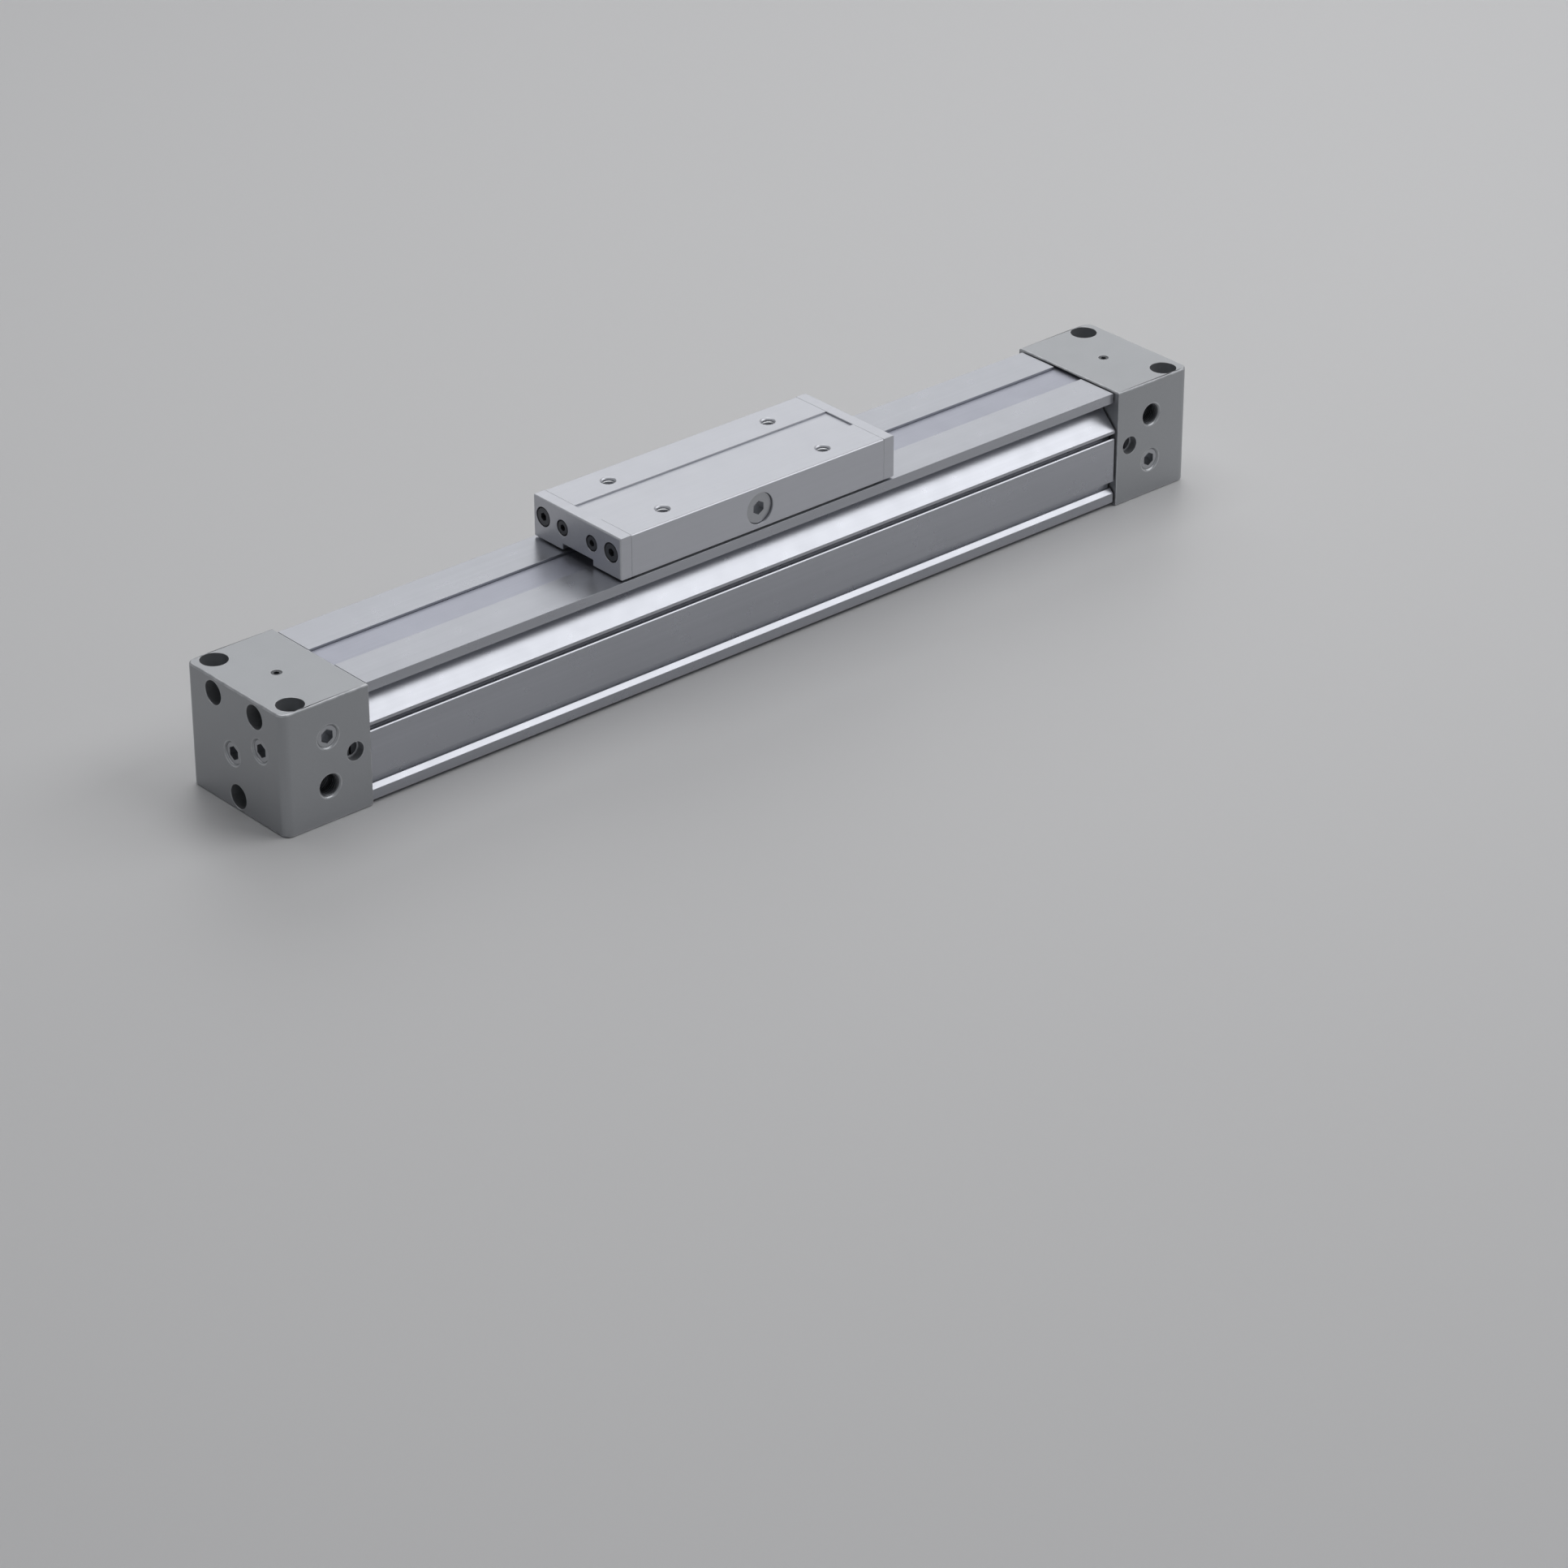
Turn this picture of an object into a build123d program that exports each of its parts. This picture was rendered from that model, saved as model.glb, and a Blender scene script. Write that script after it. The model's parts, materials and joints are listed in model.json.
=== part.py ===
"""Pneumatic slide table: a rodless cylinder whose piston carries a table through a slot in the barrel.

Millimetres. X runs along the stroke, from the near head cover to the far one, Y runs across and Z points up.
The origin lies at mid length and mid width on the plane that the head covers stand on. The front, with the
cushion needles and the open ports, faces -Y.
"""

import os
from math import sqrt

from build123d import *

# Travel of the table, centred on the cylinder
stroke = 200.0
table_rest = 1.2

# Head covers
cover_length = 39.0
cover_width = 58.0
cover_height = 50.0
cover_corner = 3.5
edge_break = 0.5
spigot_length = 5.6
spigot_clearance = 0.15

# Barrel extrusion
gasket_thickness = 0.6
gasket_margin = 0.5
barrel_width = 56.0
barrel_rise = 1.0
foot_chamfer = 0.8
shoulder_height = 33.5
neck_width = 38.0
deck_width = 53.0
deck_edge = 4.2
deck_drop = 0.8
bore = 32.0
bore_height = 25.5
slot_width = 7.0
sensor_groove_height = 30.9
sensor_groove_mouth = 2.6
sensor_groove_width = 4.4
sensor_groove_depth = 3.4
sensor_groove_lip = 0.9
support_groove_height = 5.7
support_groove_mouth = 5.3
support_groove_depth = 3.0
support_groove_slope = 1.8
air_passage_radius = 2.0
air_passage_inset = 8.7
air_passage_height = 33.0
low_passage_width = 4.5
low_passage_height = 11.0
low_passage_inset = 6.5
low_passage_centre = 17.0

# Seal bands
inner_band_width = 10.0
inner_band_thickness = 1.0
inner_band_lift = 15.5
inner_band_dip = 5.5
inner_band_foot = 48.0
inner_band_top = 36.0
inner_band_radius = 24.0
outer_band_width = 15.0
outer_band_thickness = 0.3
outer_band_recess = 1.3
outer_band_foot = 45.0
outer_band_top = 25.0
outer_band_radius = 30.0
band_clearance = 0.3
band_guide_gap = 0.4

# Band clamps inside the head covers
mouth_width = 17.5
mouth_depth = 3.0
mouth_roof = 0.8
clamp_pocket_length = 22.5
clamp_pocket_width = 16.0
clamp_pocket_roof = 1.5
clamp_clearance = 0.3
clamp_screw_radius = 2.0
clamp_screw_inset = 19.5
clamp_screw_sink = 0.3

# Cover screws, M5
cover_screw_radius = 2.5
cover_screw_head = 4.25
cover_screw_head_height = 5.0
cover_screw_socket = 4.0
cover_screw_sink = 15.0
cover_screw_grip = 12.0
cover_screw_spread = 25.0
cover_screw_drop = 6.5
cover_screw_low = 5.8
screw_hole_clearance = 0.25
counterbore_clearance = 0.5
thread_clearance = 0.05

# Mounting holes of the head covers, for M6 screws from above
mounting_radius = 3.3
mounting_counterbore = 5.3
mounting_counterbore_depth = 8.0
mounting_inset = 8.5
mounting_spread = 46.0

# Ports, 1/8 inch taper thread
port_radius = 4.3
port_depth = 13.0
port_chamfer = 0.7
port_inset = 20.25
port_low = 15.0
plug_length = 8.0
plug_sink = 0.8
plug_socket = 5.0
plug_socket_depth = 4.0
chamber_end_port = (2.5, 22.5)
chamber_end_port_depth = 11.0
passage_end_port_y = -14.8
passage_end_port_depth = 22.5
near_passage_end_port_z = 30.5
far_passage_end_port_z = 19.5
drilling_radius = 2.5

# Cushion parts
chamber_radius = 5.1
chamber_end_inset = 13.0
boss_flange_radius = 9.8
boss_flange_thickness = 3.0
boss_stub_length = 5.0
boss_radius = 6.8
boss_length = 20.0
boss_bore_radius = 2.5
boss_lead = 1.5
cushion_clearance = 0.1
bumper_outer = 14.5
bumper_inner = 10.5
bumper_thickness = 2.0
needle_radius = 3.0
needle_clearance = 0.06
needle_height = 25.0
needle_inset = 7.0
needle_recess_radius = 3.7
needle_sink = 3.5
needle_length = 7.5
needle_neck_radius = 1.8
needle_neck_length = 2.0
needle_tip_length = 1.5
needle_tip_radius = 0.6
needle_slot_width = 1.0
needle_slot_depth = 1.2
needle_orifice_radius = 1.2
needle_bore_spare = 1.0

# Slide table
table_length = 137.0
table_width = 51.5
table_height = 17.4
table_gap = 0.6
end_plate_thickness = 5.5
table_channel_width = 21.6
table_roof = 1.3
table_lane_width = 15.6
table_lane_depth = 0.7
top_cover_thickness = 1.2
top_cover_clearance = 0.1
table_window_length = 100.0
table_window_width = 12.0
table_thread_radius = 2.5
table_thread_depth = 12.0
table_thread_chamfer = 0.7
table_thread_length = 80.0
table_thread_width = 32.0
plate_notch_width = 18.0
plate_notch_height = 2.5
plate_screw_rise = 9.8
plate_screw_spread = 40.0
plate_screw_radius = 2.0
plate_screw_head = 3.5
plate_screw_head_height = 4.0
plate_screw_socket = 3.0
plate_screw_grip = 10.0
scraper_screw_rise = 9.4
scraper_screw_spread = 17.2
scraper_screw_radius = 1.5
scraper_screw_head = 2.75
scraper_screw_head_height = 3.0
scraper_screw_socket = 2.5
scraper_screw_grip = 8.0
bearing_strip_width = 12.0
bearing_strip_length = 119.6
bearing_pocket_depth = 1.2
bearing_gap = 0.1
channel_clearance = 0.2

# Band scrapers, pressers and rollers inside the table
scraper_thickness = 2.8
scraper_height = 6.2
scraper_gap = 0.15
presser_length = 6.8
presser_top_gap = 0.2
roller_radius = 2.5
roller_length = 14.2
roller_inset = 12.0
roller_gap = 0.1
roller_pocket_clearance = 0.4
roller_shaft_radius = 1.0
roller_shaft_length = 20.0
roller_bore_clearance = 0.05

# Piston yoke and its couplings
yoke_radius = 15.4
yoke_half_length = 30.0
yoke_tunnel_gap = 0.6
blade_width = 6.4
blade_half_length = 26.0
yoke_head_half_length = 14.0
yoke_head_gap = 0.3
deck_clearance = 0.7
tongue_width = 10.0
tongue_height = 13.0
tongue_length = 12.0
tongue_height_centre = 23.5
tongue_clearance = 0.1
slot_guide_length = 6.0
slot_guide_gap = 0.08
coupling_rise = 8.1
coupling_head_radius = 6.2
coupling_head_height = 5.0
coupling_sink = 1.0
coupling_radius = 3.0
coupling_socket = 5.0
coupling_reach = 4.0
separator_width = 14.4
separator_reach = 43.5

# Pistons
piston_length = 49.6
piston_clearance = 0.25
piston_face_gap = 0.1
piston_joint_gap = 0.2
pin_radius = 2.5
pin_length = 28.0
pin_offset = 6.0
seal_clearance = 0.1
seal_depth = 3.3
seal_width = 4.4
seal_inset = 10.0
wear_ring_depth = 1.5
wear_ring_width = 6.0
wear_ring_inset = 20.0
ring_side_clearance = 0.1
cushion_bore_depth = 22.5
cushion_seal_depth = 2.0
cushion_seal_width = 2.8
cushion_seal_inset = 3.9
magnet_radius = 3.0
magnet_thickness = 3.5
magnet_inset = 28.0

# Worked out from the sizes above
piston_reach = yoke_half_length + piston_joint_gap + piston_length
spigot_face = stroke / 2 + piston_reach + piston_face_gap + bumper_thickness
cover_inner = spigot_face + spigot_length
cover_end = cover_inner + cover_length
barrel_end = cover_inner - gasket_thickness
air_passage_spread = barrel_width - 2 * air_passage_inset
low_passage_spread = barrel_width - 2 * low_passage_inset
cover_screw_high = cover_height - cover_screw_drop
port_high = cover_height - port_low
deck_height = cover_height - deck_drop
deck_under = deck_height - deck_edge
inner_band_z = bore_height + inner_band_lift
outer_band_z = deck_height - outer_band_recess
band_end = cover_inner + clamp_pocket_length - clamp_clearance
port_x = cover_end - port_inset
needle_x = cover_inner + needle_inset
mounting_x = cover_end - mounting_inset
clamp_screw_x = cover_inner + clamp_screw_inset
table_bottom = deck_height + table_gap
table_top = table_bottom + table_height
plate_screw_height = table_bottom + plate_screw_rise
scraper_screw_height = table_bottom + scraper_screw_rise
coupling_height = table_bottom + coupling_rise
table_half = table_length / 2
body_half = table_half - end_plate_thickness
bearing_strip_spread = (table_width + table_channel_width) / 2
top_cover_z = table_top - table_lane_depth - top_cover_thickness
channel_ceiling = top_cover_z - table_roof
channel_piece_width = table_channel_width - 2 * channel_clearance
yoke_head_top = coupling_height + coupling_radius + yoke_head_gap * 2
outer_band_crest = yoke_head_top + yoke_head_gap
roller_x = table_half - roller_inset
roller_z = outer_band_z + outer_band_thickness + roller_gap + roller_radius
yoke_foot = deck_height + deck_clearance
pin_x = yoke_half_length + pin_offset
coupling_seat = table_width / 2 - coupling_sink - coupling_head_height
piston_radius = bore / 2 - piston_clearance
ring_flat = inner_band_z - seal_clearance
cushion_bore_radius = boss_radius + cushion_clearance * 2
table_plane = Plane.YZ.offset(table_rest)


def facing(x, y, z, direction):
    """A workplane at a point, looking out along a direction."""
    return Plane(origin=(x, y, z), z_dir=direction)


def both_sides(spread, height):
    """Two places at one height, a spread apart across the cylinder."""
    return [(-spread / 2, height), (spread / 2, height)]


def socket_screws(seats, head_radius, head_height, shank_radius, shank_length, socket):
    """Cylindrical-head screws with hexagon sockets, one with its head on each seat plane."""
    with BuildPart() as screws:
        for seat in seats:
            with BuildSketch(seat):
                Circle(head_radius)
            extrude(amount=head_height)
            with BuildSketch(seat):
                Circle(shank_radius)
            extrude(amount=-shank_length)
            with BuildSketch(seat.offset(head_height)):
                RegularPolygon(socket / sqrt(3), 6)
            extrude(amount=-head_height * 0.55, mode=Mode.SUBTRACT)
    return screws.part


def band_corners(end, flat, crest, foot, top):
    """Corners of a band's line: flat, up or down to its crest round the table's middle, and flat again."""
    return [
        (-end, flat),
        (table_rest - foot, flat),
        (table_rest - top, crest),
        (table_rest + top, crest),
        (table_rest + foot, flat),
        (end, flat),
    ]


def lowered(corners, drop):
    """The same corners, lower by a distance."""
    return [(x, z - drop) for x, z in corners]


def band(corners, radius, thickness, width):
    """A flat band of one thickness that follows its corners with round bends."""
    with BuildPart() as strip:
        with BuildSketch(Plane.XZ):
            with BuildLine():
                FilletPolyline(*corners, radius=radius)
                offset(amount=thickness, side=Side.LEFT)
            make_face()
        extrude(amount=width / 2, both=True)
    return strip.part


def space_above(corners, radius, height):
    """The face between a band's line and a height above it."""
    with BuildSketch(Plane.XZ) as space:
        with BuildLine():
            line = FilletPolyline(*corners, radius=radius)
            Polyline(line @ 0, (corners[0][0], height), (corners[-1][0], height), line @ 1)
        make_face()
    return space.sketch


def opposite(part, about):
    """The other-hand copy of a piece, on the other side of a plane."""
    with BuildPart() as copy:
        mirror(part, about=about)
    return copy.part


inner_band_low = inner_band_z - inner_band_dip
inner_corners = band_corners(band_end, inner_band_z, inner_band_low, inner_band_foot, inner_band_top)
outer_corners = band_corners(band_end, outer_band_z, outer_band_crest, outer_band_foot, outer_band_top)
finished = {}


# Barrel: a slotted extrusion with a flat deck on a narrow neck and sloping shoulders
side_y = barrel_width / 2
mouth_foot = sensor_groove_height - sensor_groove_mouth / 2
support_groove_foot = support_groove_height + support_groove_slope
sensor_groove = [
    (side_y + edge_break, mouth_foot - edge_break),
    (side_y - edge_break, mouth_foot + edge_break),
    (side_y - sensor_groove_lip, mouth_foot + edge_break),
    (side_y - sensor_groove_lip, sensor_groove_height - sensor_groove_width / 2),
    (side_y - sensor_groove_depth, sensor_groove_height - sensor_groove_width / 2),
    (side_y - sensor_groove_depth, sensor_groove_height + sensor_groove_width / 2),
    (side_y - sensor_groove_lip, sensor_groove_height + sensor_groove_width / 2),
    (side_y - sensor_groove_lip, sensor_groove_height + sensor_groove_mouth / 2),
    (side_y + edge_break, sensor_groove_height + sensor_groove_mouth / 2),
]
support_groove = [
    (side_y, support_groove_height),
    (side_y - support_groove_slope, support_groove_foot),
    (side_y - support_groove_depth, support_groove_foot),
    (side_y - support_groove_depth, support_groove_height + support_groove_mouth),
    (side_y, support_groove_height + support_groove_mouth),
]
with BuildPart() as barrel:
    with BuildSketch(Plane.YZ.offset(-barrel_end)):
        with BuildLine():
            Polyline(
                (0, barrel_rise),
                (barrel_width / 2 - foot_chamfer, barrel_rise),
                (barrel_width / 2, barrel_rise + foot_chamfer),
                (barrel_width / 2, shoulder_height),
                (neck_width / 2, shoulder_height + (barrel_width - neck_width) / 2),
                (neck_width / 2, deck_under),
                (deck_width / 2, deck_under),
                (deck_width / 2, deck_height),
                (0, deck_height),
            )
            mirror(about=Plane.YZ)
        make_face()
        with Locations((0, bore_height)):
            Circle(bore / 2, mode=Mode.SUBTRACT)
            Rectangle(
                inner_band_width + 2 * band_clearance,
                inner_band_lift + inner_band_thickness + seal_clearance,
                align=(Align.CENTER, Align.MIN),
                mode=Mode.SUBTRACT,
            )
            Rectangle(slot_width, cover_height, align=(Align.CENTER, Align.MIN), mode=Mode.SUBTRACT)
        with Locations((0, outer_band_z)):
            Rectangle(
                outer_band_width + 2 * band_clearance,
                cover_height,
                align=(Align.CENTER, Align.MIN),
                mode=Mode.SUBTRACT,
            )
        with Locations(*both_sides(cover_screw_spread, cover_screw_high)):
            Circle(cover_screw_radius + thread_clearance, mode=Mode.SUBTRACT)
        with Locations((0, cover_screw_low)):
            Circle(cover_screw_radius + thread_clearance, mode=Mode.SUBTRACT)
        with Locations(*both_sides(air_passage_spread, air_passage_height)):
            Circle(air_passage_radius, mode=Mode.SUBTRACT)
        with Locations(*both_sides(low_passage_spread, low_passage_centre)):
            SlotOverall(low_passage_height, low_passage_width, rotation=90, mode=Mode.SUBTRACT)
        for groove in (sensor_groove, support_groove):
            for side in (-1, 1):
                with BuildLine():
                    Polyline(*[(side * y, z) for y, z in groove], close=True)
                make_face(mode=Mode.SUBTRACT)
    extrude(amount=2 * barrel_end)
finished["barrel"] = barrel.part


# Head covers: they close the barrel and hold the ports, the cushion and the ends of both bands
screw_places = [*both_sides(cover_screw_spread, cover_screw_high), (0, cover_screw_low)]
passage_places = [
    *both_sides(air_passage_spread, air_passage_height),
    *both_sides(low_passage_spread, low_passage_centre),
]


def head_cover(chamber_port_z, passage_end_port_z):
    """The far head cover, with its chamber fed by the side ports at one of their two heights."""
    with BuildPart() as cover:
        with BuildSketch(Plane.YZ.offset(cover_inner)):
            Rectangle(cover_width, cover_height, align=(Align.CENTER, Align.MIN))
        extrude(amount=cover_length)
        fillet(cover.edges().filter_by(Axis.Z).group_by(Axis.X)[-1], cover_corner)
        chamfer(cover.faces().sort_by(Axis.Z)[-1].edges(), edge_break)
        chamfer(cover.faces().sort_by(Axis.Z)[0].edges(), edge_break)
        # Spigot in the barrel's bore, with a flat under the inner band
        with BuildSketch(Plane.YZ.offset(cover_inner)):
            with Locations((0, bore_height)):
                Circle(bore / 2 - spigot_clearance)
            with Locations((0, ring_flat)):
                Rectangle(
                    inner_band_width + 4 * band_clearance,
                    cover_height,
                    align=(Align.CENTER, Align.MIN),
                    mode=Mode.SUBTRACT,
                )
        extrude(amount=-spigot_length)
        # Seat of the cushion boss and the chamber behind it
        with Locations(facing(spigot_face, 0, bore_height, (-1, 0, 0))):
            CounterBoreHole(
                radius=chamber_radius,
                counter_bore_radius=boss_flange_radius + thread_clearance,
                counter_bore_depth=boss_flange_thickness,
                depth=cover_end - chamber_end_inset - spigot_face,
            )
        # Mouth and pocket for the ends of the bands
        with BuildSketch(Plane.YZ.offset(cover_inner)):
            with Locations((0, outer_band_z)):
                Rectangle(
                    mouth_width,
                    cover_height - mouth_roof - outer_band_z,
                    align=(Align.CENTER, Align.MIN),
                )
        extrude(amount=mouth_depth, mode=Mode.SUBTRACT)
        with BuildSketch(Plane.YZ.offset(cover_inner)):
            with Locations((0, inner_band_z)):
                Rectangle(
                    clamp_pocket_width,
                    cover_height - clamp_pocket_roof - inner_band_z,
                    align=(Align.CENTER, Align.MIN),
                )
        extrude(amount=clamp_pocket_length, mode=Mode.SUBTRACT)
        with Locations((clamp_screw_x, 0, cover_height)):
            Hole(clamp_screw_radius + thread_clearance, depth=2 * clamp_pocket_roof)
        # Mounting holes from above
        with Locations(*[(mounting_x, side * mounting_spread / 2, cover_height) for side in (-1, 1)]):
            CounterBoreHole(
                radius=mounting_radius,
                counter_bore_radius=mounting_counterbore,
                counter_bore_depth=mounting_counterbore_depth,
                depth=cover_height,
            )
        # Holes for the screws that draw the cover onto the barrel
        with Locations(*[facing(cover_end, y, z, (1, 0, 0)) for y, z in screw_places]):
            CounterBoreHole(
                radius=cover_screw_radius + screw_hole_clearance,
                counter_bore_radius=cover_screw_head + counterbore_clearance,
                counter_bore_depth=cover_screw_sink,
                depth=cover_length,
            )
        # Side ports, front and back, and the drillings from the barrel's passages to them
        for side in (-1, 1):
            for height in (port_low, port_high):
                with Locations(facing(port_x, side * cover_width / 2, height, (0, side, 0))):
                    CounterSinkHole(
                        radius=port_radius,
                        counter_sink_radius=port_radius + port_chamfer,
                        depth=port_depth,
                        counter_sink_angle=90,
                    )
        with Locations(*[facing(cover_inner, y, z, (-1, 0, 0)) for y, z in passage_places]):
            Hole(air_passage_radius, depth=port_x - cover_inner)
        # Cross drilling that joins one pair of side ports to the chamber
        with Locations(facing(port_x, port_depth - cover_width / 2, chamber_port_z, (0, -1, 0))):
            Hole(drilling_radius, depth=cover_width - 2 * port_depth)
        with Locations(facing(port_x, 0, max(bore_height, chamber_port_z), (0, 0, 1))):
            Hole(drilling_radius, depth=abs(bore_height - chamber_port_z))
        # End ports
        end_ports = (
            (*chamber_end_port, chamber_end_port_depth),
            (passage_end_port_y, passage_end_port_z, passage_end_port_depth),
        )
        for y, z, depth in end_ports:
            with Locations(facing(cover_end, y, z, (1, 0, 0))):
                CounterSinkHole(port_radius, port_radius + port_chamfer, depth=depth, counter_sink_angle=90)
        with Locations(facing(cover_end, *chamber_end_port, (1, 0, 0))):
            Hole(drilling_radius, depth=chamber_end_inset + port_radius)
        # Bore of the cushion needle
        with Locations(facing(needle_x, -cover_width / 2, needle_height, (0, -1, 0))):
            CounterBoreHole(
                radius=needle_radius + needle_clearance,
                counter_bore_radius=needle_recess_radius,
                counter_bore_depth=needle_sink,
                depth=needle_sink + needle_length + needle_neck_length + needle_bore_spare,
            )
            Hole(needle_orifice_radius, depth=cover_width / 2 - chamber_radius / 2)
    return cover.part


finished["near_head_cover"] = opposite(head_cover(port_low, near_passage_end_port_z), Plane.YZ)
finished["far_head_cover"] = head_cover(port_high, far_passage_end_port_z)


# Gasket between barrel and head cover
with BuildPart() as far_cover_gasket:
    with BuildSketch(Plane.YZ.offset(barrel_end)):
        with BuildLine():
            Polyline(
                (0, barrel_rise + foot_chamfer),
                (barrel_width / 2 - support_groove_depth - gasket_margin, barrel_rise + foot_chamfer),
                (barrel_width / 2 - support_groove_depth - gasket_margin, shoulder_height),
                (neck_width / 2 - gasket_margin, shoulder_height + (barrel_width - neck_width) / 2),
                (neck_width / 2 - gasket_margin, deck_under),
                (0, deck_under),
            )
            mirror(about=Plane.YZ)
        make_face()
        with Locations((0, bore_height)):
            Circle(bore / 2, mode=Mode.SUBTRACT)
            Rectangle(clamp_pocket_width, cover_height, align=(Align.CENTER, Align.MIN), mode=Mode.SUBTRACT)
        with Locations(*screw_places):
            Circle(cover_screw_radius + screw_hole_clearance, mode=Mode.SUBTRACT)
        with Locations(*passage_places):
            Circle(air_passage_radius, mode=Mode.SUBTRACT)
    extrude(amount=gasket_thickness)
finished["far_cover_gasket"] = far_cover_gasket.part
finished["near_cover_gasket"] = opposite(far_cover_gasket.part, Plane.YZ)


# Screws that draw both head covers onto the barrel
cover_screw_length = cover_length - cover_screw_sink + gasket_thickness + cover_screw_grip
cover_screw_seat = cover_end - cover_screw_sink
cover_screw_seats = [
    facing(side * cover_screw_seat, y, z, (side, 0, 0)) for side in (-1, 1) for y, z in screw_places
]
finished["cover_screws"] = socket_screws(
    cover_screw_seats,
    cover_screw_head,
    cover_screw_head_height,
    cover_screw_radius,
    cover_screw_length,
    cover_screw_socket,
)


# Seal bands: the inner one closes the slot from the bore, the outer one keeps dust out of it
finished["inner_seal_band"] = band(inner_corners, inner_band_radius, inner_band_thickness, inner_band_width)
finished["outer_seal_band"] = band(outer_corners, outer_band_radius, outer_band_thickness, outer_band_width)


# Clamp block between the two bands, and the set screw that presses on it
with BuildPart() as far_band_clamp:
    clamp_foot = inner_band_z + inner_band_thickness
    with BuildSketch(Plane.XY.offset(clamp_foot)):
        with Locations((cover_inner + clamp_pocket_length / 2, 0)):
            RectangleRounded(
                clamp_pocket_length - 2 * clamp_clearance,
                clamp_pocket_width - 2 * clamp_clearance,
                edge_break,
            )
    extrude(amount=outer_band_z - clamp_foot)
finished["far_band_clamp"] = far_band_clamp.part
finished["near_band_clamp"] = opposite(far_band_clamp.part, Plane.YZ)

with BuildPart() as band_clamp_screws:
    clamp_screw_foot = outer_band_z + outer_band_thickness
    with BuildSketch(Plane.XY.offset(clamp_screw_foot)):
        with Locations((-clamp_screw_x, 0), (clamp_screw_x, 0)):
            Circle(clamp_screw_radius)
    extrude(amount=cover_height - clamp_screw_sink - clamp_screw_foot)
    with BuildSketch(Plane.XY.offset(cover_height - clamp_screw_sink)):
        with Locations((-clamp_screw_x, 0), (clamp_screw_x, 0)):
            RegularPolygon(clamp_screw_radius / sqrt(3), 6)
    extrude(amount=-clamp_pocket_roof / 2, mode=Mode.SUBTRACT)
finished["band_clamp_screws"] = band_clamp_screws.part


# Cushion boss, which closes the piston's bore at the end of the stroke, and the bumper round it
with BuildPart() as far_cushion_boss:
    with BuildSketch(Plane.YZ.offset(spigot_face)):
        with Locations((0, bore_height)):
            Circle(boss_flange_radius)
    extrude(amount=boss_flange_thickness)
    with BuildSketch(Plane.YZ.offset(spigot_face + boss_flange_thickness)):
        with Locations((0, bore_height)):
            Circle(chamber_radius - thread_clearance)
    extrude(amount=boss_stub_length)
    with BuildSketch(Plane.YZ.offset(spigot_face)):
        with Locations((0, bore_height)):
            Circle(boss_radius)
    extrude(amount=-boss_length)
    chamfer(far_cushion_boss.faces().sort_by(Axis.X)[0].edges(), boss_lead)
    with Locations(facing(spigot_face - boss_length, 0, bore_height, (-1, 0, 0))):
        Hole(boss_bore_radius, depth=boss_length + boss_flange_thickness + boss_stub_length)
finished["far_cushion_boss"] = far_cushion_boss.part
finished["near_cushion_boss"] = opposite(far_cushion_boss.part, Plane.YZ)

with BuildPart() as far_bumper:
    with BuildSketch(Plane.YZ.offset(spigot_face)):
        with Locations((0, bore_height)):
            Circle(bumper_outer)
            Circle(bumper_inner, mode=Mode.SUBTRACT)
    extrude(amount=-bumper_thickness)
finished["far_bumper"] = far_bumper.part
finished["near_bumper"] = opposite(far_bumper.part, Plane.YZ)


# Plugs of the ports that aren't piped
def port_plugs(mouths):
    """Taper plugs with hexagon sockets, one sunk in each port mouth."""
    with BuildPart() as plugs:
        for mouth in mouths:
            with BuildSketch(mouth.offset(-plug_sink)):
                Circle(port_radius - thread_clearance)
            extrude(amount=-plug_length)
            with BuildSketch(mouth.offset(-plug_sink)):
                RegularPolygon(plug_socket / sqrt(3), 6)
            extrude(amount=-plug_socket_depth, mode=Mode.SUBTRACT)
    return plugs.part


finished["side_port_plugs"] = port_plugs(
    [
        facing(-port_x, -cover_width / 2, port_high, (0, -1, 0)),
        facing(port_x, -cover_width / 2, port_low, (0, -1, 0)),
        facing(-port_x, cover_width / 2, port_high, (0, 1, 0)),
        facing(-port_x, cover_width / 2, port_low, (0, 1, 0)),
        facing(port_x, cover_width / 2, port_high, (0, 1, 0)),
        facing(port_x, cover_width / 2, port_low, (0, 1, 0)),
    ]
)
finished["end_port_plugs"] = port_plugs(
    [
        facing(-cover_end, *chamber_end_port, (-1, 0, 0)),
        facing(-cover_end, passage_end_port_y, near_passage_end_port_z, (-1, 0, 0)),
        facing(cover_end, *chamber_end_port, (1, 0, 0)),
        facing(cover_end, passage_end_port_y, far_passage_end_port_z, (1, 0, 0)),
    ]
)


# Cushion needle, turned with a screwdriver, and the seal on its neck
needle_head_y = needle_sink - cover_width / 2
with BuildPart() as far_cushion_needle:
    with BuildSketch(Plane.XY.offset(needle_height)):
        with BuildLine():
            neck_y = needle_head_y + needle_length
            tip_y = neck_y + needle_neck_length
            Polyline(
                (needle_x, needle_head_y),
                (needle_x + needle_radius, needle_head_y),
                (needle_x + needle_radius, neck_y),
                (needle_x + needle_neck_radius, neck_y),
                (needle_x + needle_neck_radius, tip_y),
                (needle_x + needle_tip_radius, tip_y + needle_tip_length),
                (needle_x, tip_y + needle_tip_length),
                close=True,
            )
        make_face()
    revolve(axis=Axis((needle_x, 0, needle_height), (0, 1, 0)))
    with BuildSketch(facing(needle_x, needle_head_y, needle_height, (0, -1, 0))):
        Rectangle(2 * needle_radius, needle_slot_width)
    extrude(amount=-needle_slot_depth, mode=Mode.SUBTRACT)
finished["far_cushion_needle"] = far_cushion_needle.part
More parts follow.
